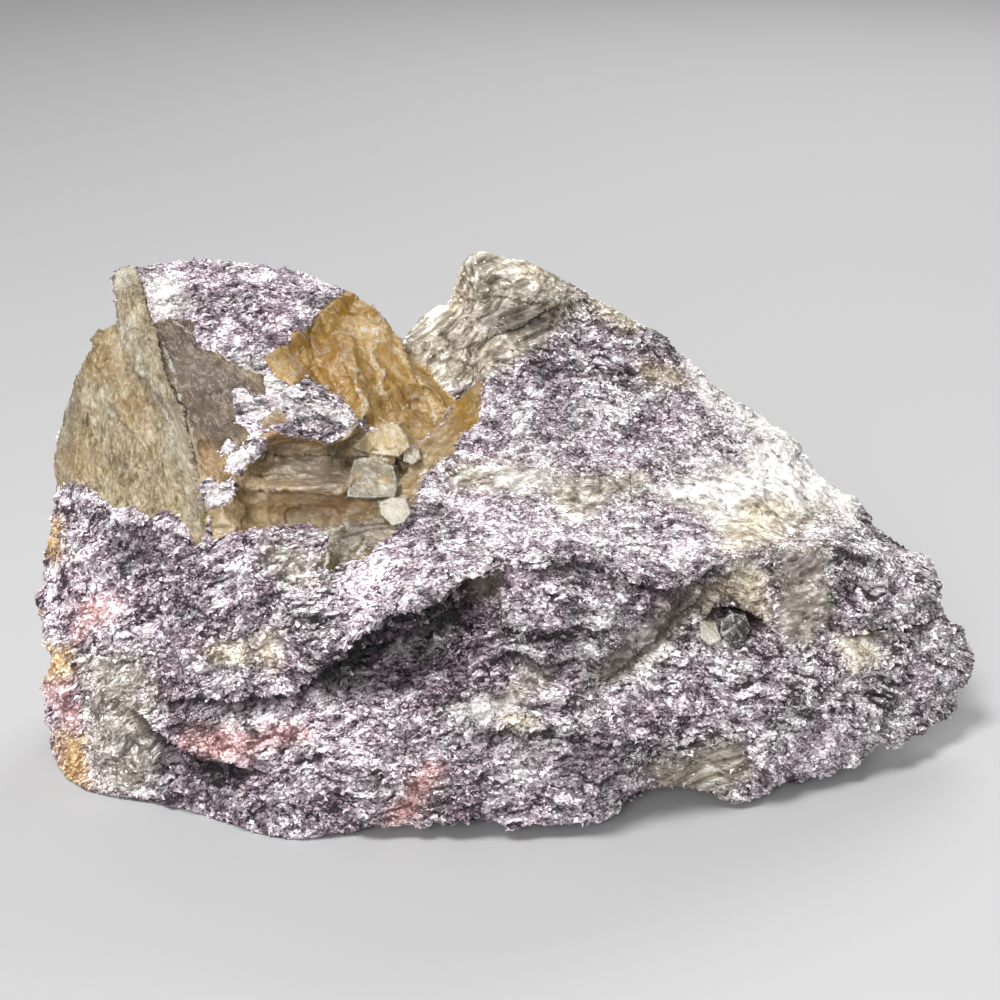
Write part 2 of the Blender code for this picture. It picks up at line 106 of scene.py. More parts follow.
half = FLOOR_SIZE / 2
floor_mesh = bpy.data.meshes.new("floor")
floor_mesh.from_pydata(
    ((-half, -half, 0), (half, -half, 0), (half, half, 0), (-half, half, 0)), [], [(0, 1, 2, 3)])
paint = bpy.data.materials.new("floor paint")
paint.use_nodes = True
paint.node_tree.nodes["Principled BSDF"].inputs["Base Color"].default_value = FLOOR_COLOUR
paint.node_tree.nodes["Principled BSDF"].inputs["Roughness"].default_value = FLOOR_ROUGHNESS
floor_mesh.materials.append(paint)
floor = add_object("floor", floor_mesh)
room = bpy.data.worlds.new("room")
room.use_nodes = True
room.node_tree.nodes["Background"].inputs["Color"].default_value = ROOM_COLOUR
room.node_tree.nodes["Background"].inputs["Strength"].default_value = ROOM_LIGHT
bpy.context.scene.world = room
for name, (place, size, power) in LAMPS.items():
    light = bpy.data.lights.new(name, "AREA")
    light.size = size
    light.energy = power
    lamp = add_object(name, light)
    lamp.location = place
    lamp.rotation_euler = (SIGHT_CENTRE * MM - lamp.location).to_track_quat("-Z", "Y").to_euler()

# The rock: one block of fine-grained mica with other minerals in patches, grown as one piece. Its
# skin is broken into ledges, chips and grains, and sunk a few mm under the quartz. The core is the
# whole rock, and thin closed shells carry the finest relief of the display side.

# Crusts of mica that lie on the quartz. Outlines are points of (across, up), seen on the display side.
CRUSTS = (
    ((-54, 22.4), (-51, 22.6), (-49, 20.5), (-46.4, 21), (-45, 18.4), (-47, 16.4), (-46.5, 13.5),
     (-50, 12.6), (-50.6, 15), (-53.6, 15.4), (-52.4, 18.6)),
    ((-57, 10), (-54.5, 12.4), (-52, 11.2), (-49, 12.8), (-46.6, 11), (-48, 8), (-50.4, 7.4),
     (-51.6, 4.8), (-55, 5.6), (-54.6, 8.4)),
    ((-61.4, 3), (-58.6, 4.4), (-56, 3), (-54, 4.8), (-52, 2.6), (-53.4, 0.8), (-55, -1), (-59, -1.6),
     (-59, 0.8)),
    ((-47.6, 25.6), (-42, 23.2), (-36, 23), (-31, 20), (-28.6, 16.4), (-30, 13.6), (-34, 11.2),
     (-37.6, 12), (-40, 15), (-43, 17), (-46.4, 20.4)),
)
# The minerals of the specimen, as patches of its skin. The dark patches are painted shade in hollows and
# undercuts, partly over darker mica, and the bright patches are painted light.
OUTLINES = {
    "smoky quartz": (
        ((-79, 49), (-72.6, 46.8), (-70.4, 40.8), (-69.6, 35.8), (-67.8, 36.8), (-61.2, 35.8),
         (-60.6, 30.6), (-56, 29.6), (-52.8, 27.4), (-48.4, 25.6), (-43, 23.4), (-40, 20.4), (-42, 16),
         (-47.6, 14.4), (-50, 12), (-53.6, 9), (-55.6, 4), (-57.6, -1), (-59.4, -8), (-61.2, -9.6),
         (-64, -4), (-66.8, -1.8), (-69.6, -4), (-73.4, -1.8), (-77.4, -1.8), (-82, 2), (-84.8, 3.8),
         (-89.2, 1.6), (-93, 4), (-93, 14), (-90, 22), (-87, 28), (-84, 33), (-81, 37), (-79, 38)),
    ),
    "yellow quartz": (
        ((-30.2, 43), (-26, 41), (-21.5, 36.5), (-18.5, 31), (-13, 25), (-8.6, 19.6), (-11, 16),
         (-14, 12.8), (-16.8, 11), (-18.4, 12.8), (-20.8, 15), (-27, 13.8), (-27.4, 16), (-29.8, 17.2),
         (-32.6, 20), (-35.4, 22.8), (-38.2, 24), (-42.6, 23.4), (-44.8, 25), (-47.6, 28.4),
         (-44.4, 30.4), (-42, 31.2), (-41.6, 33), (-38.2, 35.2), (-35.8, 38.6)),
    ),
    "recess quartz": (
        ((-53, 17), (-40, 12), (-31, 12.4), (-28.6, 16), (-27, 13.8), (-20.8, 15), (-16.8, 11),
         (-14, 12.8), (-11.2, 16), (-8.6, 20), (-6, 23), (-3.4, 25), (-3.8, 16), (-8, 13.2),
         (-9.2, 9.4), (-12.4, 7.6), (-14.8, 5.4), (-16.4, 1.6), (-17.4, -1.2), (-22.4, -7.4),
         (-27.4, -11.4), (-32.6, -13), (-34.8, -15.4), (-36, -12), (-34.2, -9), (-35, -6), (-40, -5),
         (-46, -5.6), (-52, -6), (-58, -8), (-58.4, 0), (-56, 6), (-54, 11)),
    ),
    "fibrous": (
        ((-20, 40), (-14, 46), (-8, 51), (2, 52), (10, 48), (16, 43), (15, 38), (9, 32), (0, 26),
         (-6, 23), (-14, 22), (-20, 30)),
        ((-12, 7), (0, 7.6), (9, 6), (10, 2.4), (0, 1.6), (-10, 2.4)),
        ((31, 1), (40, 5.6), (48, 7), (51, 11.8), (56, 14), (61, 13), (68, 7), (73, -1), (66, -2),
         (61, -6), (56.6, -9), (50, -10), (44, -8), (42, -3), (36, -1)),
        ((10, 2), (13, 5), (20, 4.4), (29, 5.4), (30.4, 3.6), (26, 1.6), (20, 0), (18, -3), (14, -3.6),
         (10.4, -1)),
        ((18, -36.8), (22.4, -31), (28, -26.4), (32, -22), (38, -18.8), (40.8, -20.6), (36, -25.6),
         (32, -29.6), (27, -33.6), (22.4, -36.8)),
        ((56, -12), (60, -8), (64.4, -9), (65.4, -16), (66.4, -22), (62.4, -28.4), (58, -28.4),
         (55, -24), (57, -18)),
        ((30.4, -53.6), (38, -51.6), (44, -48), (47.6, -49), (49.6, -51), (50.4, -55), (47, -57.2),
         (43, -58.2), (38, -57.6), (33, -57.6), (31, -56)),
    ),
    "white": (
        ((31.8, 2), (39.8, 4.8), (48.2, 6), (51, 10.8), (56.6, 12), (60, 12.6), (63, 11), (70, 5),
         (73.6, -1), (70, -3), (63, 0.4), (59.4, -2), (56.6, -5), (52, 0), (48.2, -1.6), (43, -5),
         (42.6, 0), (37, 0)),
        ((36, 30), (41, 27), (44, 21.6), (52, 18), (60, 12.6), (58, 11), (50, 14), (42, 20), (38, 23)),
        ((-70, 44), (-66, 45), (-62, 39), (-67, 35), (-70, 38)),
        ((-10, -43), (-6, -41), (-2, -39.6), (2, -39), (5, -40), (3, -42.4), (-2, -44), (-7, -44.4)),
        ((40.4, -24.4), (43.6, -24), (45.2, -28.4), (40.8, -28)),
        ((-52, 27.6), (-45, 24), (-40.8, 20), (-31, 17.6), (-30, 15), (-36, 16), (-44, 19.2),
         (-51, 24)),
        ((0, 6), (8, 4.4), (4, 3.6), (-2, 4)),
        ((-52, 21), (-50, 21.4), (-48, 18.5), (-50, 17.5)),
        ((-55, 9.6), (-52, 10), (-51, 7.6), (-54, 6.8)),
        ((-58, 2.6), (-55.6, 2.6), (-56, 0.4), (-58.4, 0.6)),
    ),
    "cream": (
        ((17, 41.6), (20, 41.6), (30, 36.4), (27, 34), (20, 36.4)),
        ((28, 27), (34, 27), (37, 23.2), (30, 24)),
        ((-12, 44), (-7, 45), (-5.4, 40), (-9, 38.4), (-11.4, 40)),
        ((3.6, 49), (8, 48), (11.6, 45), (8, 43.6), (4, 45)),
        ((-59, -30), (-55, -29), (-50, -30), (-51, -32.8), (-57, -32.8)),
        ((-48.8, -28), (-45, -26.8), (-43.6, -31), (-45, -33.6), (-48.4, -32.4)),
        ((45, -9), (47, -5), (50, -1), (53, 0.6), (57.4, 0), (58, -3), (55, -7), (51, -8), (48, -9.6)),
        ((40.8, -22.4), (39.6, -19.6), (43, -17.6), (46, -15), (47, -12), (50, -12), (53.2, -15),
         (52.4, -19), (54.4, -22.4), (51, -23.6), (47, -20.4), (44, -20.4), (42.4, -22.8)),
        ((1, -43), (4, -42.4), (7, -45), (4, -47), (1, -45.6)),
        ((68, -28), (74, -27), (76, -32), (71, -34)),
    ),
    "pink": (
        ((-85, -28), (-84.4, -25), (-84, -21), (-81, -20.4), (-76.4, -20), (-77.6, -23), (-80.4, -24.4),
         (-83, -27)),
        ((-64.4, -48.4), (-60, -46), (-54, -46.2), (-50, -48), (-47.6, -45.6), (-42, -45.4),
         (-37.6, -46.4), (-43, -48.4), (-47.6, -48.8), (-50.6, -51.4), (-56, -52), (-59.4, -50.4),
         (-62, -49.2)),
        ((-23.4, -66), (-20, -60), (-17, -55), (-14, -52.4), (-11.6, -54), (-14.6, -59), (-17.6, -63.6),
         (-21, -66)),
        ((-92, -35), (-86.4, -35.6), (-86.4, -40), (-91.6, -40)),
        ((-88, -40), (-85.2, -41), (-84, -47), (-87.6, -46)),
        ((-53.6, -2.4), (-50.8, -2), (-51.2, -4), (-53.2, -4.4)),
    ),
    "ochre": (
        ((-92.4, -4), (-88.4, -4), (-88, -11.2), (-92, -11.2)),
        ((-91.4, -29.6), (-86, -30), (-86, -35.2), (-91.2, -35.2)),
        ((-88.4, -47), (-83.6, -47.6), (-82.4, -57.2), (-87.6, -57.6)),
    ),
    "grey": (
        ((-83, -31), (-76, -30.4), (-70, -33.6), (-69.6, -46), (-68, -52), (-72, -59), (-81, -58.4),
         (-83, -46)),
        ((-47.6, -8), (-40, -9), (-36, -12), (-36.4, -16), (-42, -18), (-47.6, -12)),
        ((0, -40.4), (1.6, -36.4), (6, -33), (11.4, -33.4), (10, -37), (6.4, -38.4), (4.4, -41.2)),
        ((-9, -16.4), (-4, -14.4), (0, -15), (0, -20), (-5, -20.4)),
        ((20, -35), (24, -30), (30, -25), (35, -21.6), (38, -21), (34, -26), (28, -31), (23, -35)),
        ((57, -10), (61, -8), (65, -10), (65.4, -16), (66, -22), (62.4, -28.4), (58, -28), (55.6, -22)),
    ),
    # Painted shade: hollows and undercuts darkened in the colour, partly over darker mica.
    "dark": (
        ((-3, 36.6), (2, 38.4), (8, 38.6), (13, 38), (12, 35.4), (4, 33.4), (-3, 33)),
        ((-29.6, -29), (-25.6, -24.8), (-22.4, -22.6), (-15, -21.8), (-10, -20), (-7.6, -22.4),
         (-9.6, -28), (-12, -33), (-20, -38), (-30, -40), (-40, -40), (-38, -36), (-32, -33)),
        ((-70, -47.6), (-60, -52), (-50.4, -53.6), (-53, -60), (-62, -58), (-70, -54)),
        ((40, -22.4), (46, -20.8), (51.6, -23.2), (50.4, -28), (46, -26.4), (41.2, -24.4)),
        ((-78, -4), (-70, -5.6), (-68, -12), (-76, -16), (-79.2, -10)),
        ((-4, -48), (0, -46), (6, -47), (4, -50), (-2, -50.4)),
        ((12, -50), (20, -49.6), (24, -54), (16, -58), (11.2, -55)),
        ((6, -32.8), (16, -32.4), (14, -35), (9, -35.2)),
        ((19, -36), (23, -30), (30, -24), (38, -18.6), (40, -21), (34, -26), (28, -31), (23, -36)),
    ),
    # Painted light: the tone is raised a little in the bright patches, and their ledges are made flatter.
    "bright": (
        ((-15, 16), (-4, 20), (12, 25), (28, 23), (38, 26), (52, 16), (64, 9), (73, -1), (68, -8),
         (52, -12), (38, -14.4), (20, -11.6), (0, -12.8), (-7.6, -15.6), (-12, -20), (-20, -21.2),
         (-26, -24), (-30, -20), (-30, -15), (-20, -12), (-18, -4), (-12, 2), (-14, 10)),
        ((-70, 47.6), (-54, 49), (-40, 46.4), (-32, 42), (-40, 41.6), (-54, 43), (-64, 42)),
        ((54, -49), (70, -47), (80, -46), (76, -52), (60, -57), (52, -54)),
        ((84, -24), (92, -26), (94, -32), (92, -42), (86, -45), (86, -34)),
    ),
}
QUARTZ = ("smoky quartz", "yellow quartz", "recess quartz")
# Undercuts, where a layer broke away below an edge: its line, its depth in mm, and how far down it
# runs out in mm. A small lip stands along the line.
UNDERCUTS = (
    (((-31, -29.6), (-28.4, -27.6), (-25, -24.4), (-22.4, -22.4), (-19, -22), (-15, -21.4),
      (-11, -19.6), (-9.6, -18), (-7, -16), (-3.6, -15.2)), 3.6, 9),
    (((-66, -40), (-60, -39.4), (-53.6, -40.6), (-49, -39.2), (-42, -38.4), (-38, -36), (-34, -34.4),
      (-30.6, -32)), 2.4, 5),
    (((-70, -44.6), (-67.4, -46.4), (-64, -49.4), (-59, -51.6), (-54.4, -52.2),
      (-50.4, -53.6)), 2.4, 6),
    (((-4, -14.4), (0, -12.8), (6, -13.4), (12, -12.6), (18, -12), (22.4, -14.4), (28, -16.6),
      (33, -18.2), (38, -16.6), (41.6, -14.6)), 1.8, 6),
    (((14.4, -38.4), (20, -36.4), (25, -32.8), (30, -28.4), (34.4, -24), (39, -20.4),
      (42.8, -17.2)), 1.6, 5),
    (((3.6, -31.4), (7, -32.6), (10, -33), (13, -32), (16.4, -32)), 1.8, 4),
    (((40.4, -23.6), (42.8, -21.6), (46, -20.8), (49.2, -21.8), (52, -23.8)), 2.6, 6),
    (((69, -9.8), (72, -10.4), (74.4, -11.6), (77, -11.2), (79.2, -10)), 1.3, 3),
    (((70.4, -26.8), (74, -25.4), (78, -25.6), (81.6, -25.6), (85.6, -24.2)), 2.2, 4),
    (((-4.4, -47.6), (0, -45.8), (4, -44.4), (7.6, -42.8)), 1.4, 4),
    (((18, -48), (22.4, -49), (26, -48.2), (31.2, -49.2)), 1.3, 3.5),
    (((51, -52.4), (54, -54.4), (57, -55), (60.4, -57.2)), 1.8, 4),
    (((-72, -4.8), (-68.4, -4.8), (-65, -6.6), (-62, -9), (-58.8, -9.8)), 1.4, 4),
    (((-51.4, -15.4), (-48, -13.6), (-45, -12.4), (-41.6, -11.4)), 1.2, 3),
    (((30, -52.8), (34.4, -53.6), (39.2, -51.6), (44.4, -48.8), (48, -48.8)), 1.4, 4),
    (((-6, 40), (0, 40.8), (6, 39.4), (12, 40.4)), 0.7, 3),
    (((-8, 30.4), (-2, 32.4), (4, 34.8), (9.6, 38), (15, 39.6)), 1.0, 3),
    (((28, -38), (32.4, -38.6), (38, -37.8), (42.4, -38.8)), 1.1, 3),
    (((-16, -41.2), (-10, -40), (-4, -38), (0, -38.4)), 1.1, 3.5),
    (((0, -28), (6, -27.2), (12, -28), (18, -26.8)), 1.1, 3),
    (((69.6, -16), (74.4, -15.6), (79.2, -17.2)), 1.1, 3),
    (((-44, 21.6), (-40, 19.6), (-35, 16.4), (-31, 15.2), (-28.4, 16)), 1.5, 4),
    (((-84.6, -33), (-83.8, -40), (-82.8, -48), (-81, -57)), 0.9, 3),
    (((-66, -33), (-60, -31.4), (-55, -34.6), (-50, -34)), 0.8, 2.5),
    (((-79, -2), (-74, -7), (-68, -10), (-63, -15)), 0.8, 3),
)
LIP_HEIGHT = 0.3
LIP_SHARPNESS = 3
# The patches of the hidden side: a mineral, a middle and half its height in mm. Each is drawn out
# along the layers and has a ragged edge.
HIDDEN_PATCHES = (
    ("smoky quartz", (-82, 30, 70), 14), ("smoky quartz", (-64, 36, 60), 8),
    ("smoky quartz", (-88, 26, 48), 9), ("fibrous", (14, 36, 86), 9), ("fibrous", (36, 40, 66), 7),
    ("white", (-18, 40, 68), 6), ("white", (8, 42, 54), 7), ("white", (66, 34, 42), 6),
    ("grey", (-44, 42, 28), 8), ("grey", (-20, 42, 36), 6), ("cream", (56, 38, 26), 5),
    ("ochre", (-93, 14, 20), 6), ("ochre", (52, 40, 60), 3), ("pink", (26, 42, 22), 4),
    ("dark", (-4, 42, 14), 9), ("dark", (-60, 40, 16), 8),
)
HIDDEN_STRETCH = (0.5, 0.8, 1)
HIDDEN_RAGGED = 16
# The outlined patches end where the rock turns away from the eye, and their quartz also this far back.
FACING_EYE = 0.05
FACING_EDGE = 20
QUARTZ_BACK = 34
QUARTZ_BACK_EDGE = 2
# How far the edges of the patches wander, and the farthest that is measured from them, in mm.
RAGGED = 3.2
FARTHEST = 9.0


def near(spots, line):
    """Which spots lie in the box round a line, with a margin."""
    corners = np.array(line)
    return ((spots > corners.min(0) - FARTHEST) & (spots < corners.max(0) + FARTHEST)).all(1)


def distance_to_line(spots, line):
    """How far each spot lies from an open line of points, in mm, and whether it lies above the line."""
    nearest = np.full(len(spots), FARTHEST * 4)
    above = np.zeros(len(spots), bool)
    for start, end in zip(np.array(line[:-1], float), np.array(line[1:], float)):
        run = end - start
        along = np.clip((spots - start) @ run / (run @ run), 0, 1)
        off = spots - start - along[:, None] * run
        distance = np.hypot(off[:, 0], off[:, 1])
        closer = distance < nearest
        nearest[closer] = distance[closer]
        above[closer] = (run[0] * off[:, 1] > run[1] * off[:, 0])[closer]
    return nearest, above


def reach_inside(spots, outline):
    """How far each spot lies inside a closed outline, in mm. It is below 0 outside."""
    here = near(spots, outline)
    spots = spots[here]
    inside = np.zeros(len(spots), bool)
    for start, end in zip(outline, outline[1:] + outline[:1]):
        spans = (start[1] > spots[:, 1]) != (end[1] > spots[:, 1])
        level = (spots[:, 1] - start[1]) / ((end[1] - start[1]) or 1e-9)
        inside ^= spans & (spots[:, 0] < start[0] + level * (end[0] - start[0]))
    reach = np.full(len(here), -FARTHEST)
    nearest = distance_to_line(spots, outline + outline[:1])[0]
    reach[here] = np.where(inside, nearest, -nearest)
    return reach


def step_at(spots, line, depth, reach):
    """How deep an undercut goes: full just below its line, out again at its reach, and a lip above."""
    here = near(spots, line)
    distance, above = distance_to_line(spots[here], line)
    lip = -LIP_HEIGHT * np.clip(1 - distance / reach * LIP_SHARPNESS, 0, 1)
    step = np.zeros(len(here))
    step[here] = np.where(above, lip, np.clip(1 - distance / reach, 0, 1))
    return step * depth


def vectors_of(items, name):
    found = np.empty(len(items) * 3, np.float32)
    items.foreach_get(name, found)
    return found.reshape(-1, 3).astype(float)


def numbers_in(mesh, name):
    found = np.empty(len(mesh.vertices), np.float32)
    mesh.attributes[name].data.foreach_get("value", found)
    return found


def store(mesh, name, values):
    kind, label = ("FLOAT", "value") if values.ndim == 1 else ("FLOAT_VECTOR", "vector")
    attribute = mesh.attributes.get(name) or mesh.attributes.new(name, kind, "POINT")
    attribute.data.foreach_set(label, values.astype(np.float32).ravel())


def place_vertices(mesh, places):
    mesh.vertices.foreach_set("co", places.astype(np.float32).ravel())


def places_on(mesh):
    """The places of the vertices in mm, how they wander, and the spots where they are then seen."""
    places = vectors_of(mesh.vertices, "co") / MM
    ragged = vectors_of(mesh.attributes["ragged"].data, "vector")
    return places, ragged, seen_at(places + ragged * RAGGED)


def map_minerals(mesh):
    """Stores on each vertex how far inside each mineral's patches it lies, in mm."""
    places, ragged, spots = places_on(mesh)
    facing = vectors_of(mesh.vertex_normals, "vector") @ np.array(towards_eye)
    on_show = np.clip((facing - FACING_EYE) * FACING_EDGE + FARTHEST, -FARTHEST, FARTHEST)
    bare = -np.max([reach_inside(spots, crust) for crust in CRUSTS], axis=0)
    bare = np.minimum(bare, (QUARTZ_BACK - places[:, 1]) * QUARTZ_BACK_EDGE)
    found = {}
    for mineral, outlines in OUTLINES.items():
        reach = np.max([reach_inside(spots, outline) for outline in outlines], axis=0)
        reach = np.minimum(reach, np.minimum(on_show, bare) if mineral in QUARTZ else on_show)
        for patch, middle, radius in HIDDEN_PATCHES:
            if patch == mineral:
                off = (places + ragged * HIDDEN_RAGGED - np.array(middle)) * HIDDEN_STRETCH
                reach = np.maximum(reach, radius - np.linalg.norm(off, axis=1))
        found[mineral] = np.clip(reach, -FARTHEST, FARTHEST)
        store(mesh, mineral, found[mineral])
    store(mesh, "quartz", np.max([found[mineral] for mineral in QUARTZ], axis=0))
    store(mesh, "display", facing)
    cuts = [step_at(spots, *cut) for cut in UNDERCUTS]
    store(mesh, "undercut", (np.max(cuts, axis=0) + np.min(cuts, axis=0)) * np.clip(facing * 4, 0, 1))


# Sizes of the skin and the core in mm, how often each is smoothed, and how much of a shell's coarse
# back is kept.
SKIN_VOXEL = 0.38
WELD = 0.01
MICA_SMOOTHING = 24
QUARTZ_SMOOTHING = 5
CORE_SMOOTHING = 130
CORE_DEPTH = 3.4
CORE_TRIANGLES = 150_000
SHELL_BACK = 0.06
# The layers of the mica arch over the rock from left to right, and undercuts go back and up into
# them. The blades of the fibrous patches rise to the right.
LAYER_TURN = (math.radians(24), math.radians(4), 0)
LAYER_ARCH = 0.0022
INTO_UNDERCUT = (0, 0.95, 0.3)
BLADE_TURN = (math.radians(20), math.radians(28), 0)
ROCK_RELIEF = {
    "ledge spacing": 6.5, "ledge height": 1.05, "chip size": 2.7, "chip height": 0.38,
    "grain size": 0.9, "grain height": 0.3, "blade width": 1.5, "blade height": 0.6, "quartz bed": 0.85,
}
# Each set of ledges as a share of the largest: spacing, height, length.
LEDGE_SETS = ((1, 0.55, 1.2), (0.42, 0.42, 0.7), (0.2, 0.3, 0.4))


def settle(obj):
    """Turns the object's modifiers into its mesh."""
    graph = bpy.context.evaluated_depsgraph_get()
    graph.update()
    mesh = bpy.data.meshes.new_from_object(obj.evaluated_get(graph))
    obj.modifiers.clear()
    obj.data = mesh


def refined(obj, voxel):
    """Gives the object small even faces of this size, in mm."""
    remesh = obj.modifiers.new("fine faces", "REMESH")
    remesh.mode = "VOXEL"
    remesh.voxel_size = voxel * MM
    settle(obj)


def smoothed(obj, times, group=""):
    smooth = obj.modifiers.new("smoothing", "SMOOTH")
    smooth.factor = 0.5
    smooth.iterations = times
    smooth.vertex_group = group


def group_of(obj, name, chosen):
    group = obj.vertex_groups.new(name=name)
    group.add(np.nonzero(chosen)[0].tolist(), 1, "REPLACE")
    return group.name


def coarsened(obj, chosen, triangles):
    """Merges faces among the chosen vertices until so many triangles are left."""
    thin = obj.modifiers.new("fewer faces", "DECIMATE")
    thin.ratio = min(1, triangles / (2 * len(obj.data.polygons)))
    thin.use_collapse_triangulate = True
    thin.vertex_group = group_of(obj, "coarse", chosen)
    settle(obj)
    obj.vertex_groups.clear()


def mesh_from(bm, name):
    mesh = bpy.data.meshes.new(name)
    bm.to_mesh(mesh)
    bm.free()
    return mesh


def shell_of(name, mesh, chosen, share):
    """A closed piece of a fine mesh: the chosen part, and a coarse back sunk this share of the way in."""
    corners = np.empty(len(mesh.loops), np.int32)
    mesh.loops.foreach_get("vertex_index", corners)
    quads = corners.reshape(-1, 4)
    used, quads = np.unique(quads[chosen[quads].all(1)], return_inverse=True)
    quads = quads.reshape(-1, 4)
    count = len(used)
    starts, ends = quads.ravel(), np.roll(quads, -1, 1).ravel()
    rim = ~np.isin(starts * count + ends, ends * count + starts)
    walls = np.stack([ends[rim], starts[rim], starts[rim] + count, ends[rim] + count], 1)
    faces = np.concatenate([quads, quads[:, ::-1] + count, walls])
    front = vectors_of(mesh.vertices, "co")
    back = front + (vectors_of(mesh.attributes["deep"].data, "vector") - front) * share
    made = bpy.data.meshes.new(name)
    made.vertices.add(count * 2)
    place_vertices(made, np.concatenate([front[used], back[used]]))
    made.loops.add(faces.size)
    made.loops.foreach_set("vertex_index", faces.ravel())
    made.polygons.add(len(faces))
    made.polygons.foreach_set("loop_start", np.arange(0, faces.size, 4))
    made.update(calc_edges=True)
    for attribute in mesh.attributes:
        if attribute.domain != "POINT" or attribute.name == "position":
            continue
        if attribute.data_type == "FLOAT":
            values = numbers_in(mesh, attribute.name)
        elif attribute.data_type == "FLOAT_VECTOR":
            values = vectors_of(attribute.data, "vector")
        else:
            continue
        store(made, attribute.name, np.concatenate([values[used]] * 2))
    behind = np.arange(count * 2) >= count
    store(made, "front", ~behind)
    piece = add_object(name, made)
    coarsened(piece, behind, 2 * (len(quads) * (1 + SHELL_BACK) + len(walls)))
    return piece


class Wire:
    """A socket in a node tree. Sums on it add Math nodes, so that node maths reads as an expression."""

    def __init__(self, recipe, socket):
        self.recipe = recipe
        self.socket = socket

    def maths(self, operation, *values):
        return self.recipe.node("ShaderNodeMath", {"operation": operation}, dict(enumerate(values)))

    def __add__(self, other):
        return self.maths("ADD", self, other)

    def __sub__(self, other):
        return self.maths("SUBTRACT", self, other)

    def __rsub__(self, other):
        return self.maths("SUBTRACT", other, self)

    def __mul__(self, other):
        return self.maths("MULTIPLY", self, other)

    def __truediv__(self, other):
        return self.maths("DIVIDE", self, other)

    def __rtruediv__(self, other):
        return self.maths("DIVIDE", other, self)

    def __gt__(self, other):
        return self.maths("GREATER_THAN", self, other)

    __radd__ = __add__
    __rmul__ = __mul__

    def least(self, other):
        return self.maths("MINIMUM", self, other)

    def most(self, other):
        return self.maths("MAXIMUM", self, other)

    def wrapped(self):
        return self.maths("FRACT", self)

    def between(self, low, high):
        """0 at low, 1 at high, and an even rise between."""
        sockets = {"Value": self, "From Min": low, "From Max": high}
        return self.recipe.node("ShaderNodeMapRange", None, sockets)


class Recipe:
    """A node tree as it is built."""

    def __init__(self, tree):
        self.tree = tree

    def node(self, kind, settings=None, sockets=None, output=0):
        """Adds a node: its settings first, then the values or wires of its sockets."""
        node = self.tree.nodes.new(kind)
        settings = dict(settings or {})
        for place, colour in settings.pop("stops", ()):
            stops = node.color_ramp.elements
            stop = stops[0] if place == 0 else stops[-1] if place == 1 else stops.new(place)
            stop.position = place
            stop.color = (*colour, 1)
        for name, value in settings.items():
            setattr(node, name, value)
        for name, value in (sockets or {}).items():
            if isinstance(value, Wire):
                self.tree.links.new(value.socket, node.inputs[name])
            else:
                node.inputs[name].default_value = value
        return Wire(self, node.outputs[output]) if node.outputs else None

    def vector(self, operation, *values, output=0):
        return self.node("ShaderNodeVectorMath", {"operation": operation}, dict(enumerate(values)), output)

    def scaled(self, vector, factor):
        return self.node("ShaderNodeVectorMath", {"operation": "SCALE"}, {0: vector, "Scale": factor})

    def swing(self, random):
        """A random vector of 0 to 1, made one of -0.5 to 0.5."""
        return self.vector("SUBTRACT", random, (0.5, 0.5, 0.5))

    def axis(self, vector, index):
        return self.node("ShaderNodeSeparateXYZ", None, {"Vector": vector}, index)

    def mix(self, factor, first, second, blend="MIX"):
        settings = {"data_type": "RGBA", "blend_type": blend, "clamp_factor": True}
        first, second = (value if isinstance(value, Wire) else (*value, 1) for value in (first, second))
        return self.node("ShaderNodeMix", settings, {0: factor, 6: first, 7: second}, 2)

    def noise(self, place, size, detail=2.0, rough=0.5, output=0):
        sockets = {"Vector": place, "Scale": 1 / size, "Detail": detail, "Roughness": rough}
        return self.node("ShaderNodeTexNoise", None, sockets, output)

    def cells(self, place, size, output=0, feature="F1"):
        """Voronoi cells of this size. The outputs are the distance, a random colour and the middle."""
        sockets = {"Vector": place, "Scale": 1 / size}
        return self.node("ShaderNodeTexVoronoi", {"feature": feature}, sockets, output)

    def ramp(self, value, stops):
        return self.node("ShaderNodeValToRGB", {"stops": stops}, {"Fac": value})

    def turned(self, place, turn, stretch=(1, 1, 1)):
        """A place in the frame of the layers or blades, drawn out along them."""
        sockets = {"Vector": place, "Rotation": turn}
        within = self.node("ShaderNodeVectorRotate", {"rotation_type": "EULER_XYZ"}, sockets)
        return self.vector("DIVIDE", within, stretch)

    def attribute(self, name, kind="FLOAT"):
        if self.tree.type == "SHADER":
            output = "Fac" if kind == "FLOAT" else "Vector"
            return self.node("ShaderNodeAttribute", {"attribute_name": name}, None, output)
        return self.node("GeometryNodeInputNamedAttribute", {"data_type": kind}, {"Name": name})

    def position(self):
        """The place of each point of a Geometry Nodes tree, in mm."""
        return self.scaled(self.node("GeometryNodeInputPosition"), 1 / MM)

    def stored(self, geometry, name, value, kind="FLOAT"):
        """The geometry with a value kept on its points under this name."""
        settings = {"data_type": kind, "domain": "POINT"}
        sockets = {"Geometry": geometry, "Name": name, "Value": value}
        return self.node("GeometryNodeStoreNamedAttribute", settings, sockets)

    def moved(self, geometry, offset):
        return self.node("GeometryNodeSetPosition", None, {"Geometry": geometry, "Offset": offset})


def tree_with(name, inputs):
    """A Geometry Nodes tree with these float inputs: its recipe, and a wire for each input."""
    tree = bpy.data.node_groups.new(name, "GeometryNodeTree")
    for way in ("INPUT", "OUTPUT"):
        tree.interface.new_socket("Geometry", in_out=way, socket_type="NodeSocketGeometry")
    for label in inputs:
        tree.interface.new_socket(label, in_out="INPUT", socket_type="NodeSocketFloat")
    recipe = Recipe(tree)
    source = tree.nodes.new("NodeGroupInput")
    return recipe, {socket.name: Wire(recipe, socket) for socket in source.outputs if socket.name}


def end_tree(geometry):
    geometry.recipe.node("NodeGroupOutput", None, {0: geometry})
    return geometry.recipe.tree


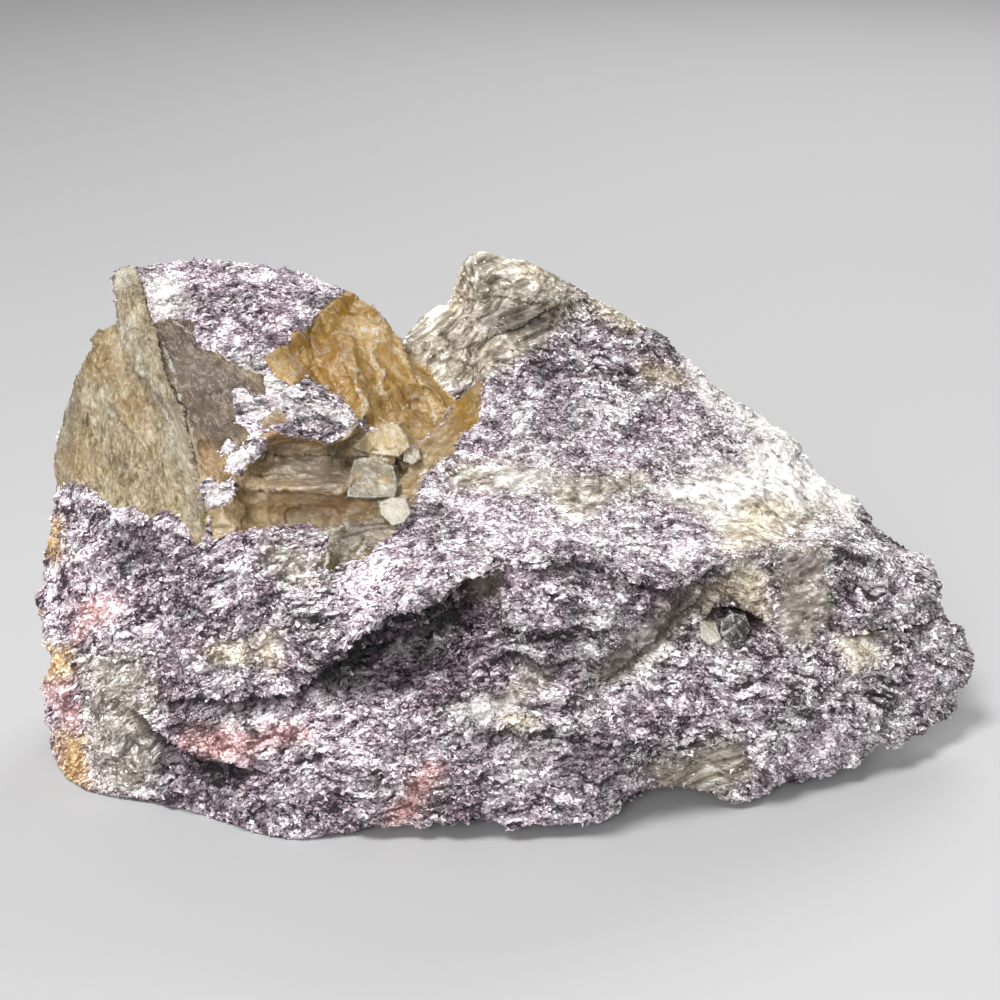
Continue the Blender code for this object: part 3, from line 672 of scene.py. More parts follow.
def attach(obj, tree, values):
    """Runs a tree on the object with these input values, and keeps the result as its mesh."""
    modifier = obj.modifiers.new(tree.name, "NODES")
    modifier.node_group = tree
    for item in tree.interface.items_tree:
        if item.in_out == "INPUT" and item.name in values:
            modifier[item.identifier] = float(values[item.name])
    settle(obj)


def ragged_tree():
    """Stores how far each vertex wanders, which makes the edges of the patches ragged."""
    recipe, given = tree_with("ragged", ())
    wander = recipe.swing(recipe.noise(recipe.position(), 5, 4.0, 0.7, 1))
    return end_tree(recipe.stored(given["Geometry"], "ragged", wander, "FLOAT_VECTOR"))


def fine_skin():
    """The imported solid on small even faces, with the minerals mapped on it."""
    bm = bmesh.new()
    bm.from_mesh(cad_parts["lepidolite_specimen"].data)
    bmesh.ops.remove_doubles(bm, verts=bm.verts, dist=WELD * MM)
    skin = add_object("skin", mesh_from(bm, "skin"))
    refined(skin, SKIN_VOXEL)
    attach(skin, ragged_tree(), {})
    map_minerals(skin.data)
    clear = numbers_in(skin.data, "quartz") >= 0
    smoothed(skin, MICA_SMOOTHING, group_of(skin, "mica", ~clear))
    smoothed(skin, QUARTZ_SMOOTHING, group_of(skin, "quartz", clear))
    settle(skin)
    skin.vertex_groups.clear()
    store(skin.data, "rest", vectors_of(skin.data.vertices, "co") / MM)
    core = add_object("core", skin.data.copy())
    smoothed(core, CORE_SMOOTHING)
    settle(core)
    inward = -vectors_of(core.data.vertex_normals, "vector")
    store(skin.data, "deep", vectors_of(core.data.vertices, "co") + inward * CORE_DEPTH * MM)
    bpy.data.objects.remove(core)
    return skin


def chips(recipe, place, size, height):
    """Broken faces of this size: each lies at its own level and leans its own way."""
    lean = recipe.swing(recipe.cells(place, size, 1))
    off = recipe.vector("SUBTRACT", place, recipe.scaled(recipe.cells(place, size, 2), 1))
    tilt = recipe.vector("DOT_PRODUCT", recipe.scaled(lean, 2 / size), off, output=1)
    return (tilt.least(0.6).most(-0.6) + recipe.axis(lean, 0)) * height


def bent_layers(recipe):
    """The place, and the place in the frame of the layers, which wave gently."""
    place = recipe.attribute("rest", "FLOAT_VECTOR")
    bend = recipe.scaled(recipe.swing(recipe.noise(place, 11, 2.0, 0.5, 1)), 7)
    across = recipe.axis(place, 0)
    arch = recipe.node("ShaderNodeCombineXYZ", None, {2: across * across * LAYER_ARCH})
    bent = recipe.vector("ADD", recipe.vector("ADD", place, bend), arch)
    return place, recipe.turned(bent, LAYER_TURN, (2, 2, 1))


def blades(recipe, place):
    """The place in the frame of the blades, drawn out along them, which wave a little."""
    bend = recipe.scaled(recipe.swing(recipe.noise(place, 14, 1.0, 0.5, 1)), 3.5)
    return recipe.turned(recipe.vector("ADD", place, bend), BLADE_TURN, (18, 1, 1))


def ledges(recipe, layers, spacing, length):
    """Ledges across the layers: how far each stands out, from 0 to 1, and a mask of its underside, where
    shade is painted.
    """
    wave = recipe.noise(layers, length * 0.6, 3.0, 0.65)
    level = (wave * 3 - recipe.axis(layers, 2) / spacing).wrapped()
    broken = recipe.noise(layers, length, 1.0).between(0.47, 0.6)
    return level.least((1 - level) * 5) * broken, level.between(0.74, 0.9) * broken


def relief_tree():
    """Breaks the skin into ledges, chips, grains and blades, and sinks it under the quartz."""
    recipe, given = tree_with("rock relief", ROCK_RELIEF)
    place, layers = bent_layers(recipe)
    height = 0
    crevice = 0
    for spacing, depth, length in LEDGE_SETS:
        spacing, length = given["ledge spacing"] * spacing, given["ledge spacing"] * length
        out, under = ledges(recipe, layers, spacing, length)
        height = height + (out - 0.3) * given["ledge height"] * depth
        crevice = under.most(crevice)
    even = 1 - recipe.attribute("bright").between(-3, 3) * 0.7
    shards = chips(recipe, layers, given["chip size"], given["chip height"])
    shards = shards + chips(recipe, layers, given["chip size"] * 0.42, given["chip height"] * 0.6)
    grains = (recipe.noise(layers, given["grain size"], 2.0, 0.6) - 0.5) * 2 * given["grain height"]
    fibre = recipe.noise(blades(recipe, place), given["blade width"], 4.0, 0.6)
    fibre = (fibre - 0.5) * 2 * given["blade height"]
    fibrous = recipe.attribute("fibrous").between(-1, 1)
    clear = recipe.attribute("quartz")
    smooth = fibrous.most(recipe.attribute("grey").between(-1, 1) * 0.85)
    smooth = smooth.most(recipe.attribute("cream").between(-1, 1) * 0.6)
    height = (height * even + shards + grains) * (1 - smooth * 0.88) + fibre * fibrous
    height = height * (1 - clear.between(-1, 0.5))
    undercut = recipe.attribute("undercut")
    crevice = (crevice * even * (1 - fibrous * 0.6)).most(undercut.between(0.5, 2))
    # The height and crevice are kept for the materials, which paint light and shade by them.
    kept = recipe.stored(given["Geometry"], "height", height)
    kept = recipe.stored(kept, "crevice", crevice)
    above = recipe.axis(place, 2).between(0.4, 3)
    offset = recipe.scaled(recipe.node("GeometryNodeInputNormal"), height * above * MM)
    cut = undercut * (1 - clear.between(-1, 0)) * MM
    offset = recipe.vector("ADD", offset, recipe.scaled(INTO_UNDERCUT, cut))
    here = recipe.node("GeometryNodeInputPosition")
    sunk = recipe.vector("SUBTRACT", recipe.attribute("deep", "FLOAT_VECTOR"), here)
    offset = recipe.vector("ADD", offset, recipe.scaled(sunk, clear.between(0, 2.5) * given["quartz bed"]))
    return end_tree(recipe.moved(kept, offset))


def boxed(mesh):
    """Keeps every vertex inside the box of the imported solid."""
    low, high = np.array(cad_box)
    place_vertices(mesh, np.clip(vectors_of(mesh.vertices, "co"), low, high))
    mesh.update()


# The shells of the display side: left and right limit in mm. They overlap a little, and stop where
# the rock turns away and where it lies deep under the quartz.
ROCK_SHELLS = {"mica_face_left": (-120, -31), "mica_face_middle": (-31, 25), "mica_face_right": (25, 120)}
SHELL_FACING = -0.15
SHELL_OVERLAP = 0.5
SHELL_SUNK = 0.6
BEDDED = 2.6
# The core lies under the shells: how far it is sunk there, and where on the turn that starts.
CORE_SUNK = 0.5
CORE_FACING = -0.1
CORE_TURN = 0.15

skin = fine_skin()
relief = add_object("relief", skin.data.copy())
attach(relief, relief_tree(), ROCK_RELIEF)
display = numbers_in(relief.data, "display")
across = vectors_of(relief.data.vertices, "co")[:, 0] / MM
bare_face = (display > SHELL_FACING) & ~(numbers_in(relief.data, "quartz") > BEDDED)
mica_pieces = [
    shell_of(name, relief.data, bare_face & (across > left - SHELL_OVERLAP) & (across < right), SHELL_SUNK)
    for name, (left, right) in ROCK_SHELLS.items()
]
rock = add_object("mica_rock", relief.data.copy())
places = vectors_of(rock.data.vertices, "co")
share = np.clip((display - CORE_FACING) / CORE_TURN, 0, 1)[:, None] * CORE_SUNK
places += (vectors_of(rock.data.attributes["deep"].data, "vector") - places) * share
place_vertices(rock.data, places)
coarsened(rock, np.ones(len(places), bool), CORE_TRIANGLES)
mica_pieces.append(rock)

# The tones of the mica, from its gaps to its brightest plates, and of the patches in it.
MICA_TONES = (
    (0, (0.008, 0.005, 0.006)), (0.15, (0.034, 0.026, 0.029)), (0.35, (0.165, 0.142, 0.15)),
    (0.55, (0.375, 0.34, 0.355)), (0.75, (0.65, 0.615, 0.63)), (0.9, (0.92, 0.905, 0.91)),
    (1, (0.99, 0.98, 0.98)),
)
PURPLE_TONES = (
    (0, (0.01, 0.005, 0.009)), (0.15, (0.044, 0.024, 0.038)), (0.35, (0.18, 0.117, 0.155)),
    (0.55, (0.39, 0.305, 0.355)), (0.75, (0.66, 0.58, 0.63)), (0.9, (0.92, 0.885, 0.905)),
    (1, (0.99, 0.98, 0.99)),
)
TINT_TONES = {
    "fibrous": (
        (0, (0.045, 0.033, 0.024)), (0.3, (0.21, 0.175, 0.13)), (0.6, (0.44, 0.4, 0.32)),
        (1, (0.95, 0.94, 0.9)),
    ),
    "white": (
        (0, (0.2, 0.18, 0.18)), (0.25, (0.6, 0.57, 0.55)), (0.6, (0.86, 0.84, 0.81)),
        (1, (0.97, 0.96, 0.94)),
    ),
    "cream": (
        (0, (0.16, 0.12, 0.08)), (0.4, (0.5, 0.43, 0.32)), (0.75, (0.79, 0.73, 0.6)),
        (1, (0.95, 0.93, 0.87)),
    ),
    "grey": (
        (0, (0.06, 0.046, 0.038)), (0.4, (0.23, 0.2, 0.17)), (0.75, (0.46, 0.42, 0.38)),
        (1, (0.92, 0.9, 0.88)),
    ),
    "pink": (
        (0, (0.12, 0.045, 0.05)), (0.4, (0.5, 0.27, 0.255)), (0.7, (0.76, 0.5, 0.48)),
        (1, (0.96, 0.9, 0.9)),
    ),
    "ochre": ((0, (0.12, 0.06, 0.02)), (0.5, (0.5, 0.3, 0.11)), (1, (0.88, 0.72, 0.48))),
}
# The pattern of the mica in mm: grains, dust between them, thin plates, clusters of grains, wide patches,
# fine ledges as spacing and length, painted as light on their tops and shade under them, and the streaks of
# the blades.
GRAIN = 0.8
DUST = 0.36
PLATE = 1.3
CLUSTER = 2.2
PATCH = 17
FINE_LEDGES = (0.8, 1.6)
STREAK = 1.8
# The mica is painted a little paler towards both ends of the rock: painted light.
PAINTED_LIGHT_AT_ENDS = 0.000009
UNDER_QUARTZ = (0.36, 0.27, 0.15)
# The tint that the dark patches multiply into the colour: painted shade, partly darker mica.
SHADE_AND_DARK_MICA = (0.16, 0.14, 0.15)


def mineral_colour(recipe, place, tone):
    """The colour of the rock: purple mica of mixed tones, patches of the other minerals, and painted shade
    over the dark patches, partly darker mica.
    """
    ragged = (recipe.noise(place, 3, 3.0, 0.65) - 0.5) * 4
    grain = recipe.node("ShaderNodeTexWhiteNoise", {"noise_dimensions": "1D"}, {"W": tone * 37}, "Value")
    loose = ragged + (grain - 0.5) * 4
    purple = recipe.noise(place, 10, 3.0, 0.6) * 3.6 - 1.35 - recipe.axis(place, 0) * 0.004
    plain = recipe.ramp(tone, MICA_TONES)
    colour = recipe.mix(purple.between(0, 1), plain, recipe.ramp(tone, PURPLE_TONES))
    for name, tones in TINT_TONES.items():
        share = (recipe.attribute(name) + loose).between(-0.9, 0.9)
        colour = recipe.mix(share, colour, recipe.ramp(tone, tones))
    # Painted shade: the dark patches are darkened towards near black.
    shade = (recipe.attribute("dark") + ragged * 0.5).between(-2, 2)
    return recipe.mix(shade * 0.8, colour, SHADE_AND_DARK_MICA, "MULTIPLY")


def uneven(recipe, place, layers, tone, ledge=0.0):
    """A tone made uneven: by clusters and wide patches, with painted light on what stands out and painted
    shade where it lies low, painted light in the bright patches, and painted light towards the ends.
    """
    cluster = recipe.noise(layers, CLUSTER, 3.0, 0.65) - 0.5
    patch = recipe.noise(place, PATCH, 2.0) - 0.5
    # Painted light and shade: the tone follows the height of the relief, and of the fine ledges given in
    # ledge.
    tone = tone + cluster * 1.5 + patch * 0.8 + recipe.attribute("height") * 0.26 + ledge
    # Painted light in the bright patches.
    tone = tone + recipe.attribute("bright").between(-3, 3) * 0.03
    return tone + recipe.axis(place, 0) * recipe.axis(place, 0) * PAINTED_LIGHT_AT_ENDS


def finish_material(name, build, smoke=None, density=0, **constants):
    """A material of one Principled shader. A recipe feeds its changing sockets, and smoke its depth."""
    material = bpy.data.materials.new(name)
    material.use_nodes = True
    material.node_tree.nodes.clear()
    recipe = Recipe(material.node_tree)
    sockets = {label.replace("_", " "): value for label, value in constants.items()}
    ends = {"Surface": recipe.node("ShaderNodeBsdfPrincipled", None, {**sockets, **build(recipe)})}
    if smoke:
        sockets = {"Color": (*smoke, 1), "Density": density}
        ends["Volume"] = recipe.node("ShaderNodeVolumeAbsorption", None, sockets)
    recipe.node("ShaderNodeOutputMaterial", None, ends)
    return material


def mica_finish(recipe):
    """Grains of mixed tones along the layers, with painted shade near black in the crevices, under the fine
    ledges and along the edges of plates, and painted light on what stands out.
    """
    place, layers = bent_layers(recipe)
    grain = recipe.cells(layers, GRAIN, 1)
    dust = recipe.cells(layers, DUST, 1)
    plate = recipe.cells(layers, PLATE, feature="DISTANCE_TO_EDGE")
    parted = (1 - plate.between(0.01, 0.09)) * recipe.noise(place, 5, 3.0, 0.6).between(0.45, 0.55)
    # The fine ledges are only painted: light on their tops and shade under them.
    out, under = ledges(recipe, layers, *FINE_LEDGES)
    tone = 0.6 + (recipe.axis(grain, 0) - 0.5) * 0.5 + (recipe.axis(dust, 1) - 0.5) * 0.5
    tone = uneven(recipe, place, layers, tone, (out - 0.3) * 0.35)
    streak = recipe.noise(blades(recipe, place), STREAK, 6.0, 0.72)
    streak = (streak + (recipe.noise(place, 7, 3.0, 0.6) - 0.5) * 0.3).between(0.35, 0.67)
    streaked = recipe.attribute("fibrous").between(-1, 1) * 0.93
    streaked = streaked.most(recipe.attribute("white").between(-1, 1) * 0.7)
    tone = tone + (streak - tone) * streaked
    # Painted shade: near black in the crevices, under the fine ledges and in the gaps between plates, which
    # are partly real dark gaps.
    painted_gap_shade = recipe.attribute("crevice").between(0.15, 0.8).most(under * 0.8)
    painted_gap_shade = painted_gap_shade.most(parted * (1 - streaked) * 0.75)
    tone = (tone * (1 - painted_gap_shade * 0.88)).between(0, 1)
    bed = recipe.attribute("quartz").between(0, 0.6)
    lean = recipe.scaled(recipe.swing(grain), 0.9)
    normal = recipe.node("ShaderNodeNewGeometry", None, None, "Normal")
    return {
        "Base Color": recipe.mix(bed, mineral_colour(recipe, place, tone), UNDER_QUARTZ),
        "Roughness": 0.62 - tone * 0.3,
        "Normal": recipe.vector("NORMALIZE", recipe.vector("ADD", normal, lean)),
    }


def claim(piece):
    """Every piece is part of the one rock."""
    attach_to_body(piece, "root")
    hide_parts("lepidolite_specimen")


def finished(piece, material):
    """Keeps the piece in its box, and gives it its shading and its material."""
    boxed(piece.data)
    piece.data.shade_smooth()
    piece.data.materials.clear()
    piece.data.materials.append(material)
    claim(piece)


mica_material = finish_material("mica rock", mica_finish, Specular_IOR_Level=0.5)
for piece in mica_pieces:
    finished(piece, mica_material)

# Mica flakes: small plates of lepidolite that stand out of the broken face. Each is a flat plate on
# a tapering root, sunk in the rock. They lie roughly along the layers, and each has its own tone.
FLAKE_CORNERS = (3, 4, 3, 4)
FLAKE_ROOT = 0.6
FLAKE_LEAN = 0.4
FLAKE_GROUPS = {
    # name: left and right limit in mm, 1 for the display side or -1, flakes in each mm2, size in mm
    "mica_flakes_left": (-120, -32, 1, 3.6, 0.58),
    "mica_flakes_middle": (-32, 26, 1, 3.6, 0.58),
    "mica_flakes_right": (26, 120, 1, 3.6, 0.58),
    "mica_flakes_back_left": (-120, 0, -1, 1.4, 0.8),
    "mica_flakes_back_right": (0, 120, -1, 1.4, 0.8),
}
# The share of its flakes that each kind of patch lacks.
BARE_SHARES = {"fibrous": 0.95, "white": 0.5, "grey": 0.85, "cream": 0.7, "ochre": 0.6}
BARE_CREVICE = 0.75
FLOOR_GAP = 0.8


def flake_shapes():
    """A few plates, one mm across, in a collection of their own."""
    shapes = bpy.data.collections.new("flake shapes")
    for shape, corners in enumerate(FLAKE_CORNERS):
        bm = bmesh.new()
        rim = []
        for corner in range(corners):
            angle = math.tau * (corner + 0.3 * math.sin(corner * 5 + shape * 2)) / corners
            reach = 0.5 + 0.12 * math.cos(corner * 3 + shape * 5)
            rim.append(bm.verts.new(Vector((math.cos(angle), math.sin(angle), 0)) * reach * MM))
        root = bm.verts.new(Vector((0.1, 0, -FLAKE_ROOT)) * MM)
        bm.faces.new(rim)
        for first, second in zip(rim, rim[1:] + rim[:1]):
            bm.faces.new((root, second, first))
        shapes.objects.link(bpy.data.objects.new("flake", mesh_from(bm, "flake")))
    return shapes


def random_value(recipe, kind, low, high, seed):
    """A random number or vector for each flake, between two values."""
    sockets = {"FLOAT_VECTOR": (0, 1, 0), "FLOAT": (2, 3, 1), "INT": (4, 5, 2)}[kind]
    values = {sockets[0]: low, sockets[1]: high, "Seed": seed}
    return recipe.node("FunctionNodeRandomValue", {"data_type": kind}, values, sockets[2])


def flake_tree(shapes, material):
    """Scatters flakes on the mica of one stretch of the rock."""
    recipe, given = tree_with("mica flakes", ("left", "right", "side", "per mm2", "size", "lean"))
    place = recipe.position()
    across = recipe.axis(place, 0)
    normal = recipe.node("GeometryNodeInputNormal")
    facing = recipe.vector("DOT_PRODUCT", normal, tuple(towards_eye), output=1)
    here = (across > given["left"]) * (given["right"] > across) * (facing * given["side"] > 0)
    here = here * (recipe.axis(place, 2) > FLOOR_GAP)
    clear = recipe.attribute("quartz")
    bare = clear.between(-0.6, 0.5).most(recipe.attribute("crevice") * BARE_CREVICE)
    for name, share in BARE_SHARES.items():
        bare = bare.most(recipe.attribute(name).between(-1, 1.5) * share)
    scatter = recipe.node("GeometryNodeDistributePointsOnFaces", {"distribute_method": "RANDOM"}, {
        "Mesh": given["Geometry"], "Density": given["per mm2"] * here * (1 - bare) / MM / MM, "Seed": 3})
    outward = Wire(recipe, scatter.socket.node.outputs["Normal"])
    points = recipe.stored(scatter, "tone", random_value(recipe, "FLOAT", 0.0, 1.0, 13))
    points = recipe.node("GeometryNodeSetPosition", None, {
        "Geometry": points, "Selection": clear > 0,
        "Position": recipe.scaled(recipe.attribute("rest", "FLOAT_VECTOR"), MM)})
    points = recipe.moved(points, recipe.scaled(outward, 0.1 * MM))
    lean = random_value(recipe, "FLOAT_VECTOR", (-1, -1, -1), (1, 1, 1), 5)
    aim = recipe.vector("ADD", recipe.scaled(outward, 0.95), (0.06, -0.1, 0.4))
    aim = recipe.vector("ADD", aim, recipe.scaled(lean, given["lean"]))
    turn = recipe.node("FunctionNodeAlignRotationToVector", {"axis": "Z"}, {"Vector": aim})
    spin = recipe.node("FunctionNodeAxisAngleToRotation", None, {
        "Axis": (0, 0, 1), "Angle": random_value(recipe, "FLOAT", -0.9, 0.9, 7)})
    turn = recipe.node("FunctionNodeRotateRotation", {"rotation_space": "LOCAL"}, {
        "Rotation": turn, "Rotate By": spin})
    big = random_value(recipe, "FLOAT", 0.0, 1.0, 11)
    big = (big * big * big * big * 1.4 + 0.65) * given["size"]
    placed = recipe.node("GeometryNodeInstanceOnPoints", None, {
        "Points": points, "Pick Instance": True, "Rotation": turn,
        "Instance": recipe.node("GeometryNodeCollectionInfo", None, {
            "Collection": shapes, "Separate Children": True}),
        "Instance Index": random_value(recipe, "INT", 0, len(FLAKE_CORNERS) - 1, 17),
        "Scale": recipe.node("ShaderNodeCombineXYZ", None, {0: big * 1.4, 1: big, 2: big})})
    whole = recipe.node("GeometryNodeRealizeInstances", None, {"Geometry": placed})
    return end_tree(recipe.node("GeometryNodeSetMaterial", None, {"Geometry": whole, "Material": material}))


def flake_finish(recipe):
    """One tone for each flake, uneven as the rock is, with painted shade on the flakes in crevices, and
    shinier on some.
    """
    place, layers = bent_layers(recipe)
    random = recipe.attribute("tone")
    tone = uneven(recipe, place, layers, random * 0.66 + 0.27)
    # Painted shade on the flakes that sit in crevices.
    tone = tone * (1 - recipe.attribute("crevice") * 0.82)
    colour = mineral_colour(recipe, place, tone.between(0, 1))
    return {"Base Color": colour, "Roughness": 0.5 - random * 0.25}


flake_material = finish_material("mica flakes", flake_finish, Specular_IOR_Level=0.7)
flakes_on_rock = flake_tree(flake_shapes(), flake_material)
for name, (left, right, side, crowd, size) in FLAKE_GROUPS.items():
    flakes = add_object(name, relief.data.copy())
    attach(flakes, flakes_on_rock, {
        "left": left, "right": right, "side": side, "per mm2": crowd, "size": size, "lean": FLAKE_LEAN})
    boxed(flakes.data)
    claim(flakes)

# Quartz: smoky in the left block, yellow behind the recess, and grey to brown inside it. Each is a slab
# that fills its bed in the mica. Its broken face is glassy, streaked and stepped, and the edges of its
# faces are painted white, partly as bruises and partly as painted highlights along lit ridges.
QUARTZ_EDGE = 1.5
QUARTZ_RELIEF = {"face size": 7.0, "face height": 0.5, "streak width": 0.9, "streak height": 0.35}
STEEP = (math.radians(8), math.radians(-63), 0)
LEVEL = (math.radians(8), math.radians(6), 0)
# Patches of other tints in the quartz. Pearl and jet are found on the loose crystals only.
QUARTZ_TINTS = {
    "amber": (
        ((-30, 43), (-34, 36), (-42, 31), (-44, 26), (-38, 22), (-30, 18), (-27, 22), (-30, 32),
         (-27, 42)),
        ((-9.4, 20.4), (-5, 21), (-3.6, 14), (-6, 11), (-9, 12)),
    ),
    "honey": (
        ((-83, 35), (-76, 35), (-76, 26), (-84, 24)),
        ((-91, 14), (-84, 14), (-80, 6), (-84, 3), (-92, 2)),
        ((-78, 21), (-73, 21), (-73, 15), (-78, 15)),
    ),
    "pale": (
        ((-69, 20), (-64, 20), (-61.5, 14), (-61, 6), (-64, 3), (-68, 8)),
        ((-63, 14), (-61.6, 14), (-60, 2), (-60, -6), (-63, -6), (-62, 4)),
        ((-78, 47), (-73, 47), (-73, 40), (-78, 41)),
        ((-76, 36), (-72, 36), (-67, 24), (-66, 18), (-68, 19), (-74, 30)),
        ((-88, 22), (-84, 25), (-86, 14), (-90, 8), (-90, 16)),
        ((-81, 21), (-77, 22), (-77, 14), (-80, 14)),
    ),
    "brown": (
        ((-47, 2), (-42.5, 5.4), (-39.5, 3.2), (-34, 1.6), (-28.6, 1.2), (-22.4, 1.6), (-21, -0.4),
         (-26, -2), (-31, -4.4), (-34.6, -6.6), (-40.4, -6.2), (-45, -4.4), (-47, -2)),
        ((-47, 16), (-39, 15.4), (-35.4, 13), (-34, 9.4), (-36.8, 8.4), (-45, 8.8), (-47, 11)),
        ((-28.8, 15.6), (-26.6, 15.6), (-26.4, 12.8), (-29, 12)),
        ((-18, 19.2), (-16, 19), (-14.2, 16.6), (-15.4, 14.4), (-17.6, 15.2)),
        ((-14, 14), (-10, 17), (-11, 14.6), (-13.4, 12.6), (-16.4, 11)),
        ((-61, 13), (-52, 13), (-52, 1), (-60, 1)),
    ),
    "haze": (
        ((-45, 8.4), (-34, 9.6), (-29.4, 8), (-29.6, 3.8), (-34, 1.8), (-39.6, 2.6), (-42.4, 4.8),
         (-46, 1.6)),
    ),
    "clay": (
        ((-70, 39), (-60, 35), (-56, 30), (-50, 26), (-44, 22), (-48, 15), (-54, 10), (-60, 12),
         (-62, 16), (-64.8, 20), (-67, 26), (-69, 34)),
    ),
    "milk": (
        ((-46, -4), (-40, -4.8), (-34, -5.6), (-34, -7.6), (-40, -7.6), (-46, -6.4)),
        ((-77.6, 47.4), (-73, 47.4), (-72.8, 45), (-77.4, 44.6)),
    ),
    "olive": (
        ((-35, -8), (-33, -5.4), (-29, -3.8), (-23.2, -2.2), (-21, -4.6), (-24, -9), (-28, -12.4),
         (-32, -15), (-35, -16.8), (-37, -12)),
    ),
    "pearl": (),
    "jet": (),
}
# Bruised edges of the faces, painted white, partly as painted highlights along lit ridges.
RIMS = (
    ((-52, 27), (-51, 26.4), (-46.8, 24.6), (-44.4, 23.8), (-41.6, 21.4)),
    ((-38, 20.4), (-34.6, 19.6), (-31.6, 17.6), (-29, 16), (-30.2, 14.2)),
    ((-33, 30), (-31.2, 27.4), (-29, 26.4), (-27.6, 25.8)),
    ((-29, 24.2), (-28.4, 21.8), (-26.6, 19.2), (-27.2, 16.4)),
    ((-27.6, 33.8), (-24.4, 34), (-25, 30.2)),
    ((-23.4, 26), (-24.6, 22.6), (-22.6, 21)),
    ((-19.4, 18.2), (-18, 19.6), (-16.4, 20.4), (-14.2, 19.4), (-13, 16.6), (-13.4, 14.6)),
    ((-46.8, -6.4), (-42.2, -5), (-38, -6.4), (-32.6, -6.2), (-29, -3.6)),
    ((-36, -10), (-34.4, -11), (-35.6, -13.8)),
    ((-26.6, -7.4), (-28.2, -10.4), (-27, -11), (-26.6, -9.4)),
    ((-14.4, 9.6), (-15.4, 3.8), (-16.8, 1.8), (-18, 0)),
    ((-78, 33), (-74.6, 35), (-73, 30), (-71, 24)),
    ((-80.6, 36.6), (-77, 35.4)),
    ((-66, 36), (-62, 33.4), (-57, 33.4)),
    ((-27.6, 34.6), (-25.4, 33.4), (-24, 33.8)),
    ((-26, 31.6), (-24.8, 27), (-23.6, 25)),
    ((-76.4, 40), (-75, 32), (-73, 26), (-70, 20), (-67, 16)),
    ((-69, 38), (-66.4, 30), (-63.6, 22), (-61.6, 14), (-60.4, 6), (-60, -2)),
    ((-80.6, 20), (-78, 17), (-75.6, 18)),
    ((-90.6, 14), (-89, 20), (-86, 27)),
    ((-88, 8), (-85, 3), (-82, 4)),
)
RIM_WIDTH = 0.3
# Steps in the quartz: a line, how deep the side to the right of its run is sunk in mm, and how far
# from the line that runs out in mm.
QUARTZ_STEPS = (
    (((-76, 33.2), (-74.4, 28.6), (-71.4, 24.4), (-67.4, 18.8)), 1.5, 5),
    (((-64.8, 20), (-67, 26), (-69.6, 36), (-70.8, 40), (-72, 44)), 1.7, 4.5),
    (((-60, -3), (-60.4, 2), (-61.6, 9), (-62.8, 14), (-64.8, 20)), 1.7, 4),
    (((-84.2, 24), (-86.6, 18.8), (-88.2, 14), (-88.8, 9.4), (-89.4, 3.6)), 0.9, 3),
    (((-67, 18), (-65.6, 12), (-64, 6), (-63.6, 0)), 0.6, 4),
    (((-82, 33), (-80, 24), (-78, 19), (-74, 14)), 0.8, 5),
    (((-77, 44), (-76.4, 36), (-75, 30), (-72, 24)), 0.8, 3),
    (((-72, 14), (-77, 8), (-80, 2)), 0.7, 4),
    (((-48, 2), (-40, 1.6), (-31, 1.6), (-30, 2.4)), 2.0, 6),
    (((-31, 8.4), (-40, 9), (-47.6, 8.6)), 1.2, 5),
    (((-23, -1), (-32, -5.4), (-40, -7), (-47.6, -6)), 1.6, 5),
    (((-34, 34), (-31, 27), (-26.4, 16.4)), 1.0, 5),
    (((-25.6, 30), (-24, 23), (-21.6, 17)), 0.8, 4),
    (((-40, 31), (-36.6, 26), (-33, 20)), 0.6, 4),
    (((-11, 16), (-16, 23), (-20, 32)), 0.8, 4),
)
DEEPEST_STEP = 2
# The slabs end where the rock turns away from the eye by this much.
QUARTZ_FACING = -0.2


def map_quartz(mesh):
    """Stores how far inside each tint of the quartz each vertex lies, and how near it is to a rim."""
    spots = places_on(mesh)[2]
    shown = numbers_in(mesh, "display") > QUARTZ_FACING
    for tint, outlines in QUARTZ_TINTS.items():
        reach = np.full(len(spots), -FARTHEST)
        for outline in outlines:
            reach = np.maximum(reach, reach_inside(spots, outline))
        store(mesh, tint, np.where(shown, reach, -FARTHEST))
    rim = np.full(len(spots), -FARTHEST)
    for line in RIMS:
        here = near(spots, line)
        rim[here] = np.maximum(rim[here], RIM_WIDTH - distance_to_line(spots[here], line)[0])
    store(mesh, "rim", np.where(shown, rim, -FARTHEST))
    sunk = sum(step_at(spots, *step) for step in QUARTZ_STEPS)
    store(mesh, "sunk", np.where(shown, sunk, 0))


def quartz_tree(streaks):
    """Gives a quartz face its broken faces and streaks, and turns its edge down into the rock."""
    recipe, given = tree_with("quartz relief", QUARTZ_RELIEF)
    place = recipe.position()
    along = recipe.turned(place, streaks, (3, 1, 1))
    faces = chips(recipe, along, given["face size"], given["face height"])
    faces = faces + chips(recipe, along, given["face size"] * 0.35, given["face height"] * 0.45)
    streak = recipe.noise(recipe.turned(place, streaks, (9, 1, 1)), given["streak width"], 3.0, 0.6) - 0.5
    dip = recipe.attribute("edge reach").between(-QUARTZ_EDGE, 0.3) - 1
    rim = recipe.attribute("rim").between(-0.4, 0.2) * 0.25
    sunk = recipe.attribute("sunk").least(DEEPEST_STEP)
    move = faces + streak * given["streak height"] * 2 + dip * 1.6 + rim - sunk
    move = move * recipe.attribute("front") * MM
    offset = recipe.scaled(recipe.node("GeometryNodeInputNormal"), move)
    return end_tree(recipe.moved(given["Geometry"], offset))


def quartz_slab(name, mineral, streaks):
    """The skin within one kind of quartz, made a closed slab."""
    store(skin.data, "edge reach", numbers_in(skin.data, mineral))
    slab = shell_of(name, skin.data, numbers_in(skin.data, mineral) > -QUARTZ_EDGE, 1)
    attach(slab, quartz_tree(streaks), QUARTZ_RELIEF)
    return slab


